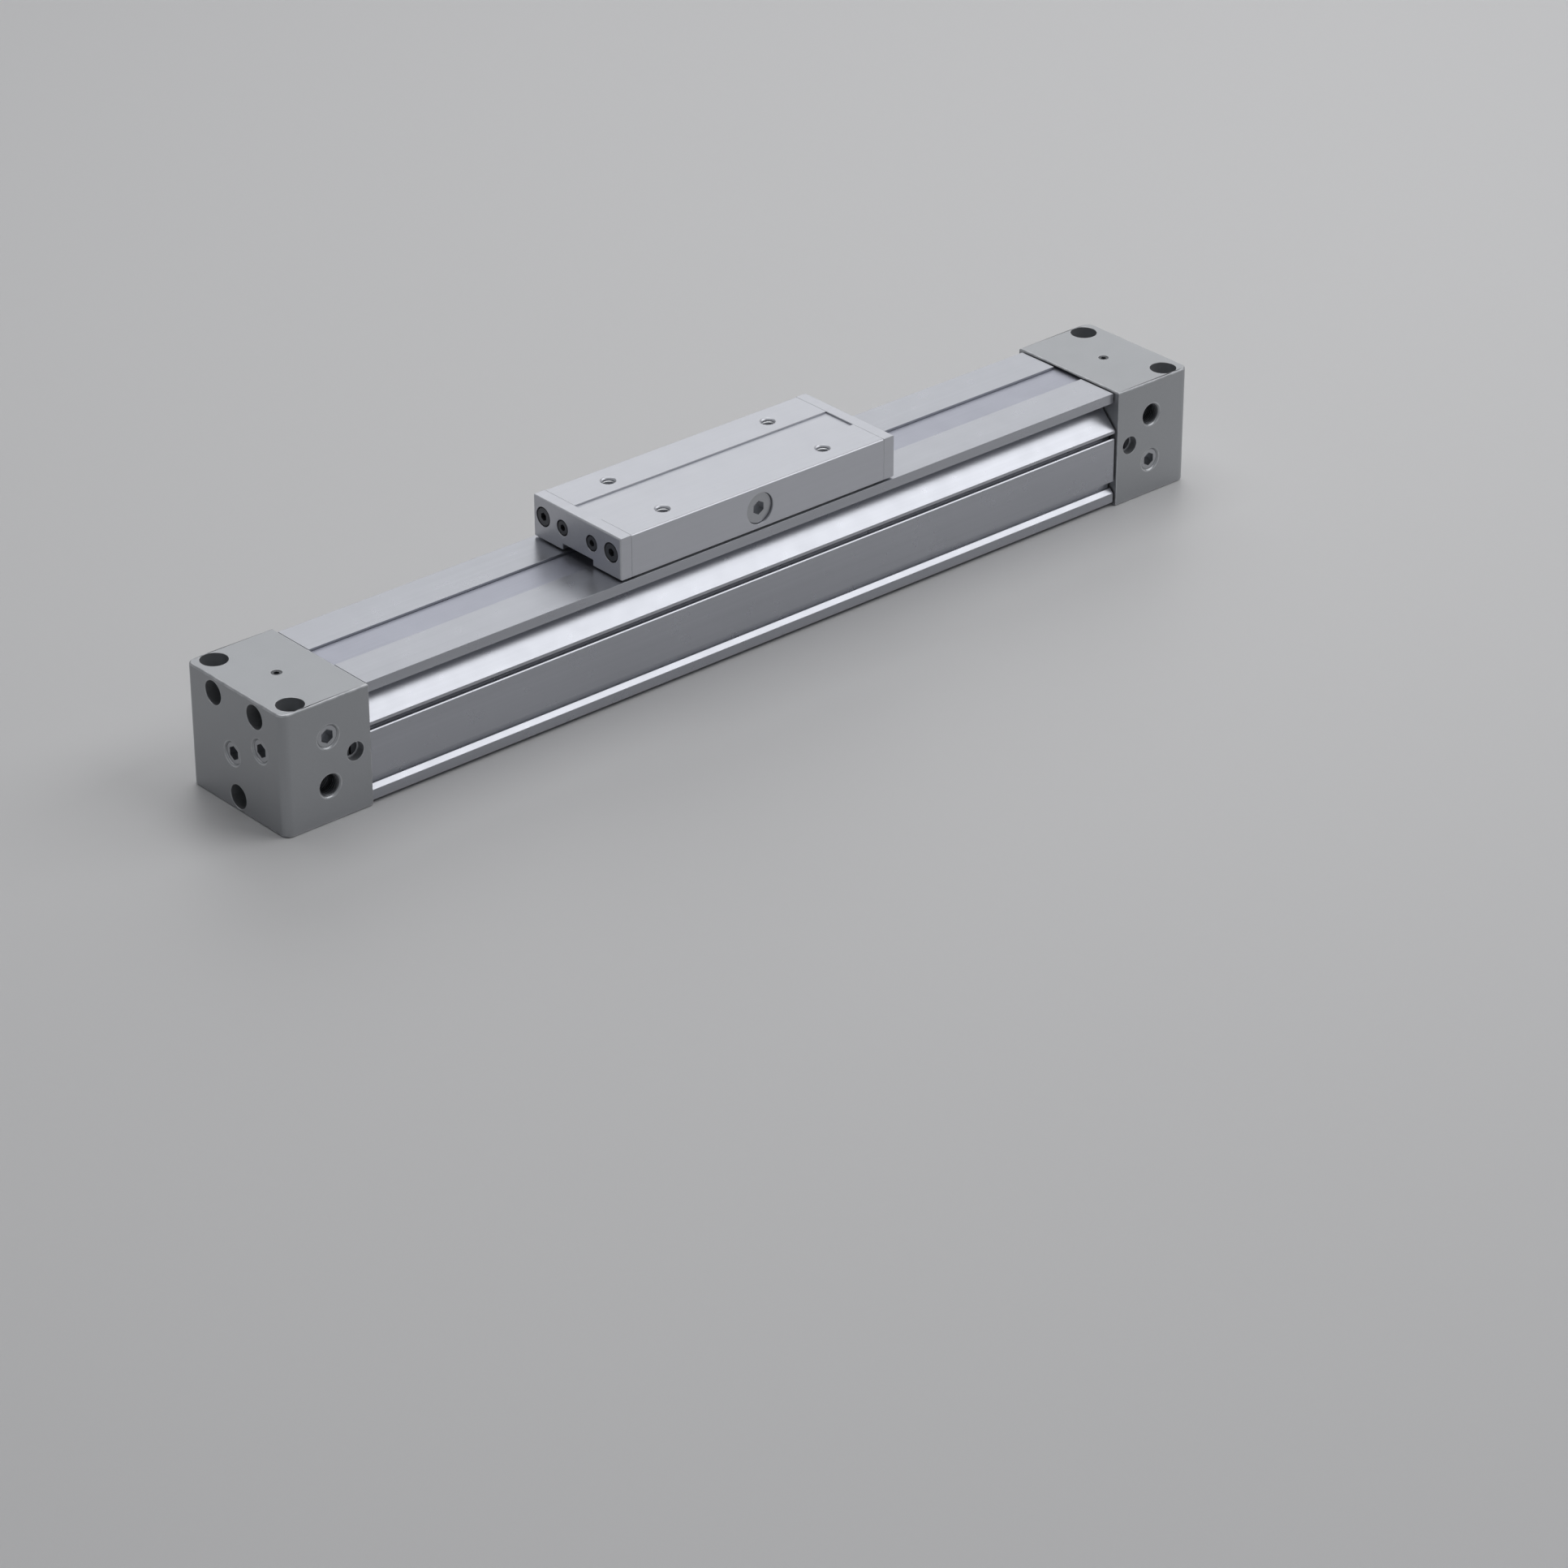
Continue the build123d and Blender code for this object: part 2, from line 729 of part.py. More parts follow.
finished["near_cushion_needle"] = opposite(far_cushion_needle.part, Plane.YZ)

with BuildPart() as far_needle_seal:
    with BuildSketch(facing(needle_x, neck_y, needle_height, (0, -1, 0))):
        Circle(needle_radius)
        Circle(needle_neck_radius + thread_clearance, mode=Mode.SUBTRACT)
    extrude(amount=-needle_neck_length + thread_clearance)
    seal_rims = far_needle_seal.edges().filter_by(GeomType.CIRCLE)
    chamfer(seal_rims.group_by(SortBy.RADIUS)[-1], edge_break)
finished["far_needle_seal"] = far_needle_seal.part
finished["near_needle_seal"] = opposite(far_needle_seal.part, Plane.YZ)


# Slide table: an inverted channel that straddles the bands, with a shallow lane along its top
with BuildPart() as slide_table:
    with BuildSketch(Plane.YZ.offset(table_rest - body_half)):
        with Locations((0, table_bottom)):
            Rectangle(table_width, table_height, align=(Align.CENTER, Align.MIN))
            Rectangle(
                table_channel_width,
                channel_ceiling - table_bottom,
                align=(Align.CENTER, Align.MIN),
                mode=Mode.SUBTRACT,
            )
        with Locations((0, table_top)):
            Rectangle(
                table_lane_width,
                table_top - top_cover_z,
                align=(Align.CENTER, Align.MAX),
                mode=Mode.SUBTRACT,
            )
    extrude(amount=2 * body_half)
    chamfer(slide_table.edges().filter_by(Axis.X).group_by(Axis.Y)[0].sort_by(Axis.Z)[-1], edge_break)
    chamfer(slide_table.edges().filter_by(Axis.X).group_by(Axis.Y)[-1].sort_by(Axis.Z)[-1], edge_break)
    # Threaded holes for the load
    with Locations((table_rest, 0, table_top)):
        with GridLocations(table_thread_length, table_thread_width, 2, 2):
            CounterSinkHole(
                table_thread_radius,
                table_thread_radius + table_thread_chamfer,
                depth=table_thread_depth,
                counter_sink_angle=90,
            )
    # Holes for the screws that couple the table to the yoke
    for side in (-1, 1):
        with Locations(facing(table_rest, side * table_width / 2, coupling_height, (0, side, 0))):
            CounterBoreHole(
                radius=coupling_radius + screw_hole_clearance,
                counter_bore_radius=coupling_head_radius + screw_hole_clearance,
                counter_bore_depth=coupling_sink + coupling_head_height,
                depth=(table_width - table_channel_width) / 2,
            )
        # Threads for the end plates
        for y in (-plate_screw_spread / 2, plate_screw_spread / 2):
            with Locations(facing(table_rest + side * body_half, y, plate_screw_height, (side, 0, 0))):
                Hole(plate_screw_radius + thread_clearance, depth=plate_screw_grip + edge_break)
    # Window in the roof, under the top cover
    with BuildSketch(Plane.XY.offset(channel_ceiling)):
        with Locations((table_rest, 0)):
            RectangleRounded(table_window_length, table_window_width, cover_corner)
    extrude(amount=table_roof, mode=Mode.SUBTRACT)
    # Pockets for the bearing strips
    with BuildSketch(Plane.XY.offset(table_bottom)):
        with Locations((table_rest, -bearing_strip_spread / 2), (table_rest, bearing_strip_spread / 2)):
            Rectangle(bearing_strip_length + channel_clearance, bearing_strip_width + channel_clearance)
    extrude(amount=bearing_pocket_depth, mode=Mode.SUBTRACT)
finished["slide_table"] = slide_table.part

with BuildPart() as table_top_cover:
    with BuildSketch(Plane.XY.offset(top_cover_z)):
        with Locations((table_rest, 0)):
            Rectangle(2 * (body_half - top_cover_clearance), table_lane_width - 2 * top_cover_clearance)
    extrude(amount=top_cover_thickness)
finished["table_top_cover"] = table_top_cover.part

with BuildPart() as front_bearing_strip:
    with BuildSketch(Plane.XY.offset(deck_height + bearing_gap)):
        with Locations((table_rest, -bearing_strip_spread / 2)):
            RectangleRounded(bearing_strip_length, bearing_strip_width, edge_break)
    extrude(amount=table_gap + bearing_pocket_depth - bearing_gap)
finished["front_bearing_strip"] = front_bearing_strip.part
finished["back_bearing_strip"] = opposite(front_bearing_strip.part, Plane.XZ)


# End plate of the table, arched over the outer band
with BuildPart() as far_end_plate:
    with BuildSketch(Plane.YZ.offset(table_rest + body_half)):
        with Locations((0, table_bottom)):
            Rectangle(table_width, table_height, align=(Align.CENTER, Align.MIN))
            Rectangle(
                plate_notch_width,
                plate_notch_height,
                align=(Align.CENTER, Align.MIN),
                mode=Mode.SUBTRACT,
            )
    extrude(amount=end_plate_thickness)
    chamfer(far_end_plate.faces().sort_by(Axis.X)[-1].edges(), edge_break)
    with Locations(
        *[
            facing(table_rest + table_half, y, plate_screw_height, (1, 0, 0))
            for y in (-plate_screw_spread / 2, plate_screw_spread / 2)
        ]
    ):
        CounterBoreHole(
            radius=plate_screw_radius + screw_hole_clearance,
            counter_bore_radius=plate_screw_head + counterbore_clearance,
            counter_bore_depth=plate_screw_head_height + edge_break / 2,
            depth=end_plate_thickness,
        )
    with Locations(
        *[
            facing(table_rest + table_half, y, scraper_screw_height, (1, 0, 0))
            for y in (-scraper_screw_spread / 2, scraper_screw_spread / 2)
        ]
    ):
        CounterBoreHole(
            radius=scraper_screw_radius + screw_hole_clearance,
            counter_bore_radius=scraper_screw_head + counterbore_clearance,
            counter_bore_depth=scraper_screw_head_height + edge_break / 2,
            depth=end_plate_thickness,
        )
finished["far_end_plate"] = far_end_plate.part
finished["near_end_plate"] = opposite(far_end_plate.part, table_plane)

plate_seat = table_half - plate_screw_head_height - edge_break / 2
finished["end_plate_screws"] = socket_screws(
    [
        facing(table_rest + side * plate_seat, y, plate_screw_height, (side, 0, 0))
        for side in (-1, 1)
        for y in (-plate_screw_spread / 2, plate_screw_spread / 2)
    ],
    plate_screw_head,
    plate_screw_head_height,
    plate_screw_radius,
    plate_seat - body_half + plate_screw_grip,
    plate_screw_socket,
)
scraper_seat = table_half - scraper_screw_head_height - edge_break / 2
finished["scraper_screws"] = socket_screws(
    [
        facing(table_rest + side * scraper_seat, y, scraper_screw_height, (side, 0, 0))
        for side in (-1, 1)
        for y in (-scraper_screw_spread / 2, scraper_screw_spread / 2)
    ],
    scraper_screw_head,
    scraper_screw_head_height,
    scraper_screw_radius,
    scraper_seat - body_half + scraper_screw_grip,
    scraper_screw_socket,
)


# Scraper behind each end plate, with a tongue in the band's lane
with BuildPart() as far_band_scraper:
    with BuildSketch(Plane.YZ.offset(table_rest + body_half - channel_clearance / 2)):
        with Locations((0, deck_height + scraper_gap)):
            Rectangle(
                channel_piece_width,
                table_bottom + scraper_height - deck_height - scraper_gap,
                align=(Align.CENTER, Align.MIN),
            )
        with Locations((0, outer_band_z + outer_band_thickness + scraper_gap)):
            Rectangle(
                outer_band_width - 2 * band_clearance,
                scraper_height,
                align=(Align.CENTER, Align.MIN),
            )
    extrude(amount=-scraper_thickness)
finished["far_band_scraper"] = far_band_scraper.part
finished["near_band_scraper"] = opposite(far_band_scraper.part, table_plane)


# Presser block with the roller that lays the outer band back in its lane
with BuildPart() as far_band_presser:
    with BuildSketch(Plane.XY.offset(yoke_foot)):
        with Locations((table_rest + roller_x, 0)):
            Rectangle(presser_length, channel_piece_width)
    extrude(amount=channel_ceiling - presser_top_gap - yoke_foot)
    with BuildSketch(Plane.XZ):
        with Locations((table_rest + roller_x, roller_z)):
            Circle(roller_radius + roller_pocket_clearance)
            Rectangle(
                2 * (roller_radius + roller_pocket_clearance),
                roller_radius,
                align=(Align.CENTER, Align.MAX),
            )
    extrude(amount=roller_length / 2 + channel_clearance, both=True, mode=Mode.SUBTRACT)
    with BuildSketch(Plane.XZ):
        with Locations((table_rest + roller_x, roller_z)):
            Circle(roller_shaft_radius + thread_clearance / 2)
    extrude(amount=cover_width, both=True, mode=Mode.SUBTRACT)
    with Locations(
        *[
            facing(table_rest + roller_x + presser_length / 2, y, scraper_screw_height, (1, 0, 0))
            for y in (-scraper_screw_spread / 2, scraper_screw_spread / 2)
        ]
    ):
        Hole(scraper_screw_radius + thread_clearance, depth=presser_length)
finished["far_band_presser"] = far_band_presser.part
finished["near_band_presser"] = opposite(far_band_presser.part, table_plane)

with BuildPart() as far_guide_roller:
    with BuildSketch(Plane.XZ):
        with Locations((table_rest + roller_x, roller_z)):
            Circle(roller_radius)
            Circle(roller_shaft_radius + roller_bore_clearance, mode=Mode.SUBTRACT)
    extrude(amount=roller_length / 2, both=True)
finished["far_guide_roller"] = far_guide_roller.part
finished["near_guide_roller"] = opposite(far_guide_roller.part, table_plane)

with BuildPart() as roller_shafts:
    with BuildSketch(Plane.XZ):
        with Locations((table_rest - roller_x, roller_z), (table_rest + roller_x, roller_z)):
            Circle(roller_shaft_radius)
    extrude(amount=roller_shaft_length / 2, both=True)
finished["roller_shafts"] = roller_shafts.part


# Piston yoke: a core in the bore, a blade through the slot and a head inside the table
with BuildPart() as piston_yoke:
    with BuildSketch(Plane.YZ.offset(table_rest - yoke_half_length)):
        with Locations((0, bore_height)):
            Circle(yoke_radius)
    extrude(amount=2 * yoke_half_length)
    with BuildSketch(Plane.XY.offset(bore_height)):
        with Locations((table_rest, 0)):
            SlotOverall(2 * blade_half_length, blade_width)
    extrude(amount=yoke_foot - bore_height)
    with BuildSketch(Plane.XY.offset(yoke_foot)):
        with Locations((table_rest, 0)):
            RectangleRounded(2 * yoke_head_half_length, channel_piece_width, edge_break)
    extrude(amount=yoke_head_top - yoke_foot)
    with BuildSketch(Plane.YZ.offset(table_rest - yoke_half_length)):
        with Locations((0, inner_band_z - inner_band_dip - yoke_tunnel_gap)):
            Rectangle(
                inner_band_width + 4 * band_clearance,
                inner_band_thickness + 2 * yoke_tunnel_gap,
                align=(Align.CENTER, Align.MIN),
            )
    extrude(amount=2 * yoke_half_length, mode=Mode.SUBTRACT)
    with BuildSketch(Plane.XZ):
        with Locations((table_rest, tongue_height_centre)):
            Rectangle(2 * (yoke_half_length + tongue_length), tongue_height)
    extrude(amount=tongue_width / 2, both=True)
    with Locations(
        *[
            facing(table_rest + side * pin_x, tongue_width / 2, tongue_height_centre, (0, 1, 0))
            for side in (-1, 1)
        ]
    ):
        Hole(pin_radius + thread_clearance, depth=tongue_width)
    for side in (-1, 1):
        with Locations(facing(table_rest, side * channel_piece_width / 2, coupling_height, (0, side, 0))):
            Hole(coupling_radius + thread_clearance, depth=channel_piece_width / 2 - coupling_reach)
finished["piston_yoke"] = piston_yoke.part

finished["coupling_screws"] = socket_screws(
    [
        facing(table_rest, side * coupling_seat, coupling_height, (0, side, 0))
        for side in (-1, 1)
    ],
    coupling_head_radius,
    coupling_head_height,
    coupling_radius,
    coupling_seat - coupling_reach - edge_break,
    coupling_socket,
)


# Plastic guides that keep the blade clear of the slot's walls
with BuildPart() as slot_guides:
    with BuildSketch(Plane.XY.offset(inner_band_z + inner_band_thickness + seal_clearance)):
        for side in (-1, 1):
            with Locations((table_rest + side * (blade_half_length - slot_guide_length / 2 + edge_break), 0)):
                Rectangle(slot_guide_length, slot_width - 2 * slot_guide_gap)
        with Locations((table_rest, 0)):
            SlotOverall(2 * blade_half_length, blade_width, mode=Mode.SUBTRACT)
    extrude(amount=outer_band_z - inner_band_z - inner_band_thickness - seal_clearance)
finished["slot_guides"] = slot_guides.part


# Separator that lifts the outer band from its lane over the yoke's head
with BuildPart() as far_band_separator:
    with BuildSketch(Plane.XZ):
        with Locations((table_rest + yoke_head_half_length + piston_joint_gap, yoke_foot)):
            Rectangle(
                separator_reach - yoke_head_half_length,
                yoke_head_top - yoke_foot,
                align=(Align.MIN, Align.MIN),
            )
    extrude(amount=separator_width / 2, both=True)
    extrude(
        space_above(lowered(outer_corners, yoke_head_gap), outer_band_radius, table_top),
        amount=separator_width,
        both=True,
        mode=Mode.SUBTRACT,
    )
finished["far_band_separator"] = far_band_separator.part
finished["near_band_separator"] = opposite(far_band_separator.part, table_plane)


# Piston: pinned to the yoke, ramped on top where the inner band comes down
def distance_from_face(inset):
    """The place along the stroke that lies an inset behind the far piston's end face."""
    return table_rest + piston_reach - inset


with BuildPart() as far_piston:
    piston_start = table_rest + yoke_half_length + piston_joint_gap
    with BuildSketch(Plane.YZ.offset(piston_start)):
        with Locations((0, bore_height)):
            Circle(piston_radius)
    extrude(amount=table_rest + piston_reach - piston_start)
    chamfer(far_piston.faces().sort_by(Axis.X)[-1].edges(), edge_break)
    # Grooves of the wear ring and the seal
    for inset, width, depth in (
        (wear_ring_inset, wear_ring_width, wear_ring_depth),
        (seal_inset, seal_width, seal_depth),
    ):
        with BuildSketch(Plane.YZ.offset(distance_from_face(inset))):
            with Locations((0, bore_height)):
                Circle(bore)
                Circle(bore / 2 - seal_clearance - depth, mode=Mode.SUBTRACT)
        extrude(amount=width, mode=Mode.SUBTRACT)
    # Bore that the cushion boss enters, with the groove of its seal
    with Locations(facing(table_rest + piston_reach, 0, bore_height, (1, 0, 0))):
        Hole(cushion_bore_radius, depth=cushion_bore_depth)
    with BuildSketch(Plane.YZ.offset(distance_from_face(cushion_seal_inset))):
        with Locations((0, bore_height)):
            Circle(cushion_bore_radius + cushion_seal_depth)
    extrude(amount=cushion_seal_width + ring_side_clearance, mode=Mode.SUBTRACT)
    # Slot for the yoke's tongue and the hole of its pin
    with BuildSketch(Plane.XZ):
        with Locations((piston_start, tongue_height_centre)):
            Rectangle(
                tongue_length + tongue_clearance,
                tongue_height + 2 * tongue_clearance,
                align=(Align.MIN, Align.CENTER),
            )
    extrude(amount=tongue_width / 2 + tongue_clearance, both=True, mode=Mode.SUBTRACT)
    with BuildSketch(Plane.XZ):
        with Locations((table_rest + pin_x, tongue_height_centre)):
            Circle(pin_radius + thread_clearance)
    extrude(amount=bore, both=True, mode=Mode.SUBTRACT)
    # Pockets of the magnets
    magnet_place = distance_from_face(magnet_inset)
    for side in (-1, 1):
        with Locations(facing(magnet_place, side * piston_radius, bore_height, (0, side, 0))):
            Hole(magnet_radius + thread_clearance, depth=magnet_thickness + piston_clearance)
    # Ramp for the inner band
    extrude(
        space_above(lowered(inner_corners, band_guide_gap), inner_band_radius, cover_height),
        amount=inner_band_width / 2 + 2 * band_clearance,
        both=True,
        mode=Mode.SUBTRACT,
    )
finished["far_piston"] = far_piston.part
finished["near_piston"] = opposite(far_piston.part, table_plane)

with BuildPart() as piston_pins:
    with BuildSketch(Plane.XZ):
        for side in (-1, 1):
            with Locations((table_rest + side * pin_x, tongue_height_centre)):
                Circle(pin_radius)
    extrude(amount=pin_length / 2, both=True)
finished["piston_pins"] = piston_pins.part

magnet_seat = piston_radius - piston_clearance
with BuildPart() as piston_magnets:
    for end in (-1, 1):
        for side in (-1, 1):
            place = table_rest + end * (piston_reach - magnet_inset)
            with BuildSketch(facing(place, side * magnet_seat, bore_height, (0, side, 0))):
                Circle(magnet_radius)
            extrude(amount=-magnet_thickness)
finished["piston_magnets"] = piston_magnets.part


def piston_ring(inset, width, depth):
    """A ring in a groove of the far piston, flattened on top where the inner band passes over it."""
    with BuildPart() as ring:
        with BuildSketch(Plane.YZ.offset(distance_from_face(inset) + ring_side_clearance)):
            with Locations((0, bore_height)):
                Circle(bore / 2 - seal_clearance)
                Circle(bore / 2 - seal_clearance - depth + thread_clearance, mode=Mode.SUBTRACT)
            with Locations((0, ring_flat)):
                Rectangle(bore, bore, align=(Align.CENTER, Align.MIN), mode=Mode.SUBTRACT)
        extrude(amount=width - 2 * ring_side_clearance)
    return ring.part


finished["far_piston_seal"] = piston_ring(seal_inset, seal_width, seal_depth)
finished["near_piston_seal"] = opposite(finished["far_piston_seal"], table_plane)
finished["far_wear_ring"] = piston_ring(wear_ring_inset, wear_ring_width, wear_ring_depth)
finished["near_wear_ring"] = opposite(finished["far_wear_ring"], table_plane)

with BuildPart() as far_cushion_seal:
    with BuildSketch(Plane.YZ.offset(distance_from_face(cushion_seal_inset) + ring_side_clearance / 2)):
        with Locations((0, bore_height)):
            Circle(cushion_bore_radius + cushion_seal_depth - thread_clearance)
            Circle(boss_radius + cushion_clearance, mode=Mode.SUBTRACT)
    extrude(amount=cushion_seal_width)
finished["far_cushion_seal"] = far_cushion_seal.part
finished["near_cushion_seal"] = opposite(far_cushion_seal.part, table_plane)


os.makedirs("parts", exist_ok=True)
for name, part in finished.items():
    part.label = name
    export_step(part, f"parts/{name}.step")
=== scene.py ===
"""Looks of a rodless slide table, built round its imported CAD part. Lengths are in metres.

X runs along the stroke, Y across and Z up. The front, with the cushion needles and open ports, faces -Y.
"""

from __future__ import annotations

import json
import logging
import math
from dataclasses import dataclass, field
from enum import Enum

import bmesh
import bpy
from mathutils import Matrix, Vector

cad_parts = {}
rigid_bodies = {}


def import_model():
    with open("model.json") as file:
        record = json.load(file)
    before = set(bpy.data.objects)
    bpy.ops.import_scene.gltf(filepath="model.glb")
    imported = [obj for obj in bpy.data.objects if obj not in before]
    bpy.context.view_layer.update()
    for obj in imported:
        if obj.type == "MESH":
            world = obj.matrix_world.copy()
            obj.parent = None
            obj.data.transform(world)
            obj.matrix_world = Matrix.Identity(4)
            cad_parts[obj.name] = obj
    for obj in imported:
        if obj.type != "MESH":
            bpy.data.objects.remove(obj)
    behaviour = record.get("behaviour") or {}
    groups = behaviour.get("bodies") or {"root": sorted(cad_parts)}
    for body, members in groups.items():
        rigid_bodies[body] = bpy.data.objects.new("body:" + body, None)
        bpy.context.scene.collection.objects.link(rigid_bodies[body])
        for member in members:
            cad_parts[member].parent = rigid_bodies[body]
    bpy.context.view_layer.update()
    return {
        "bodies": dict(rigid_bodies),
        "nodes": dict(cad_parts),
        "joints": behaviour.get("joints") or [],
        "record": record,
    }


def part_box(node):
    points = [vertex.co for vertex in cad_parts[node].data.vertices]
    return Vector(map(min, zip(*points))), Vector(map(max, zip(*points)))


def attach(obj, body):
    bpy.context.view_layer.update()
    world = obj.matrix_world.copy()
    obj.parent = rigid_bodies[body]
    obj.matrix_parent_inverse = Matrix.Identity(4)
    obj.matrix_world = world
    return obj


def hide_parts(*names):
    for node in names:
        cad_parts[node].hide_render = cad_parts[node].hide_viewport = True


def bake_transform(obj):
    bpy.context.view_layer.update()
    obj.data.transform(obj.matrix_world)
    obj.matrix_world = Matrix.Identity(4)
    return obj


log = logging.getLogger("slide_table")

MM = 0.001
CREASE_ANGLE = math.radians(24)
CYLINDER = "cylinder"
TABLE = "table"


class Pattern(Enum):
    """How the fine grain of a finish is stretched along X, Y and Z."""

    CAST = (1.0, 1.0, 1.0)
    DRAWN = (0.006, 1.0, 1.0)
    MILLED = (1.0, 0.02, 1.0)
    ROLLED = (0.012, 1.0, 1.0)


@dataclass(frozen=True)
class Finish:
    """A procedural finish. Grain is counted per metre, and relief is the height of the grain."""

    slot: str
    colour: tuple[float, float, float]
    metallic: float
    roughness: float
    pattern: Pattern = Pattern.CAST
    grain: float = 900.0
    relief: float = 0.012 * MM
    streak: float = 0.05
    tone_spread: float = 0.05
    rough_spread: float = 0.10
    # The bright colour that rounded rims take: partly real rubbed wear, partly a painted highlight on the
    # rims. The amount below sets how strongly.
    worn_and_highlight: tuple[float, float, float] = (0.62, 0.63, 0.65)
    wear_and_highlight: float = 0.0

    def material(self, groups: "ShaderGroups") -> bpy.types.Material:
        """Builds the finish's material.

        Args:
            groups: The shader node groups that the finishes share.

        Returns:
            The new material.
        """
        material = bpy.data.materials.new(self.slot)
        material.use_nodes = True
        material.diffuse_color = (*self.colour, 1.0)
        tree = material.node_tree
        shader = next(n for n in tree.nodes if n.type == "BSDF_PRINCIPLED")
        shader.inputs["Metallic"].default_value = self.metallic
        tone = groups.place(tree, groups.tone)
        tone.inputs["Colour"].default_value = (*self.colour, 1.0)
        tone.inputs["Spread"].default_value = self.tone_spread
        tone.inputs["Roughness"].default_value = self.roughness
        tone.inputs["Roughness Spread"].default_value = self.rough_spread
        grain = groups.place(tree, groups.grain)
        grain.inputs["Stretch"].default_value = self.pattern.value
        grain.inputs["Scale"].default_value = self.grain
        grain.inputs["Streak"].default_value = self.streak
        # The rims lighten towards a bright colour: edge wear and a painted highlight together.
        wear_and_highlight = groups.place(tree, groups.wear_and_highlight)
        wear_and_highlight.inputs["Worn Colour"].default_value = (*self.worn_and_highlight, 1.0)
        wear_and_highlight.inputs["Amount"].default_value = self.wear_and_highlight
        bump = tree.nodes.new("ShaderNodeBump")
        bump.inputs["Strength"].default_value = 1.0
        bump.inputs["Distance"].default_value = self.relief
        tree.links.new(tone.outputs["Colour"], grain.inputs["Colour"])
        tree.links.new(grain.outputs["Colour"], wear_and_highlight.inputs["Colour"])
        tree.links.new(wear_and_highlight.outputs["Colour"], shader.inputs["Base Color"])
        tree.links.new(tone.outputs["Roughness"], shader.inputs["Roughness"])
        tree.links.new(grain.outputs["Height"], bump.inputs["Height"])
        tree.links.new(bump.outputs["Normal"], shader.inputs["Normal"])
        return material


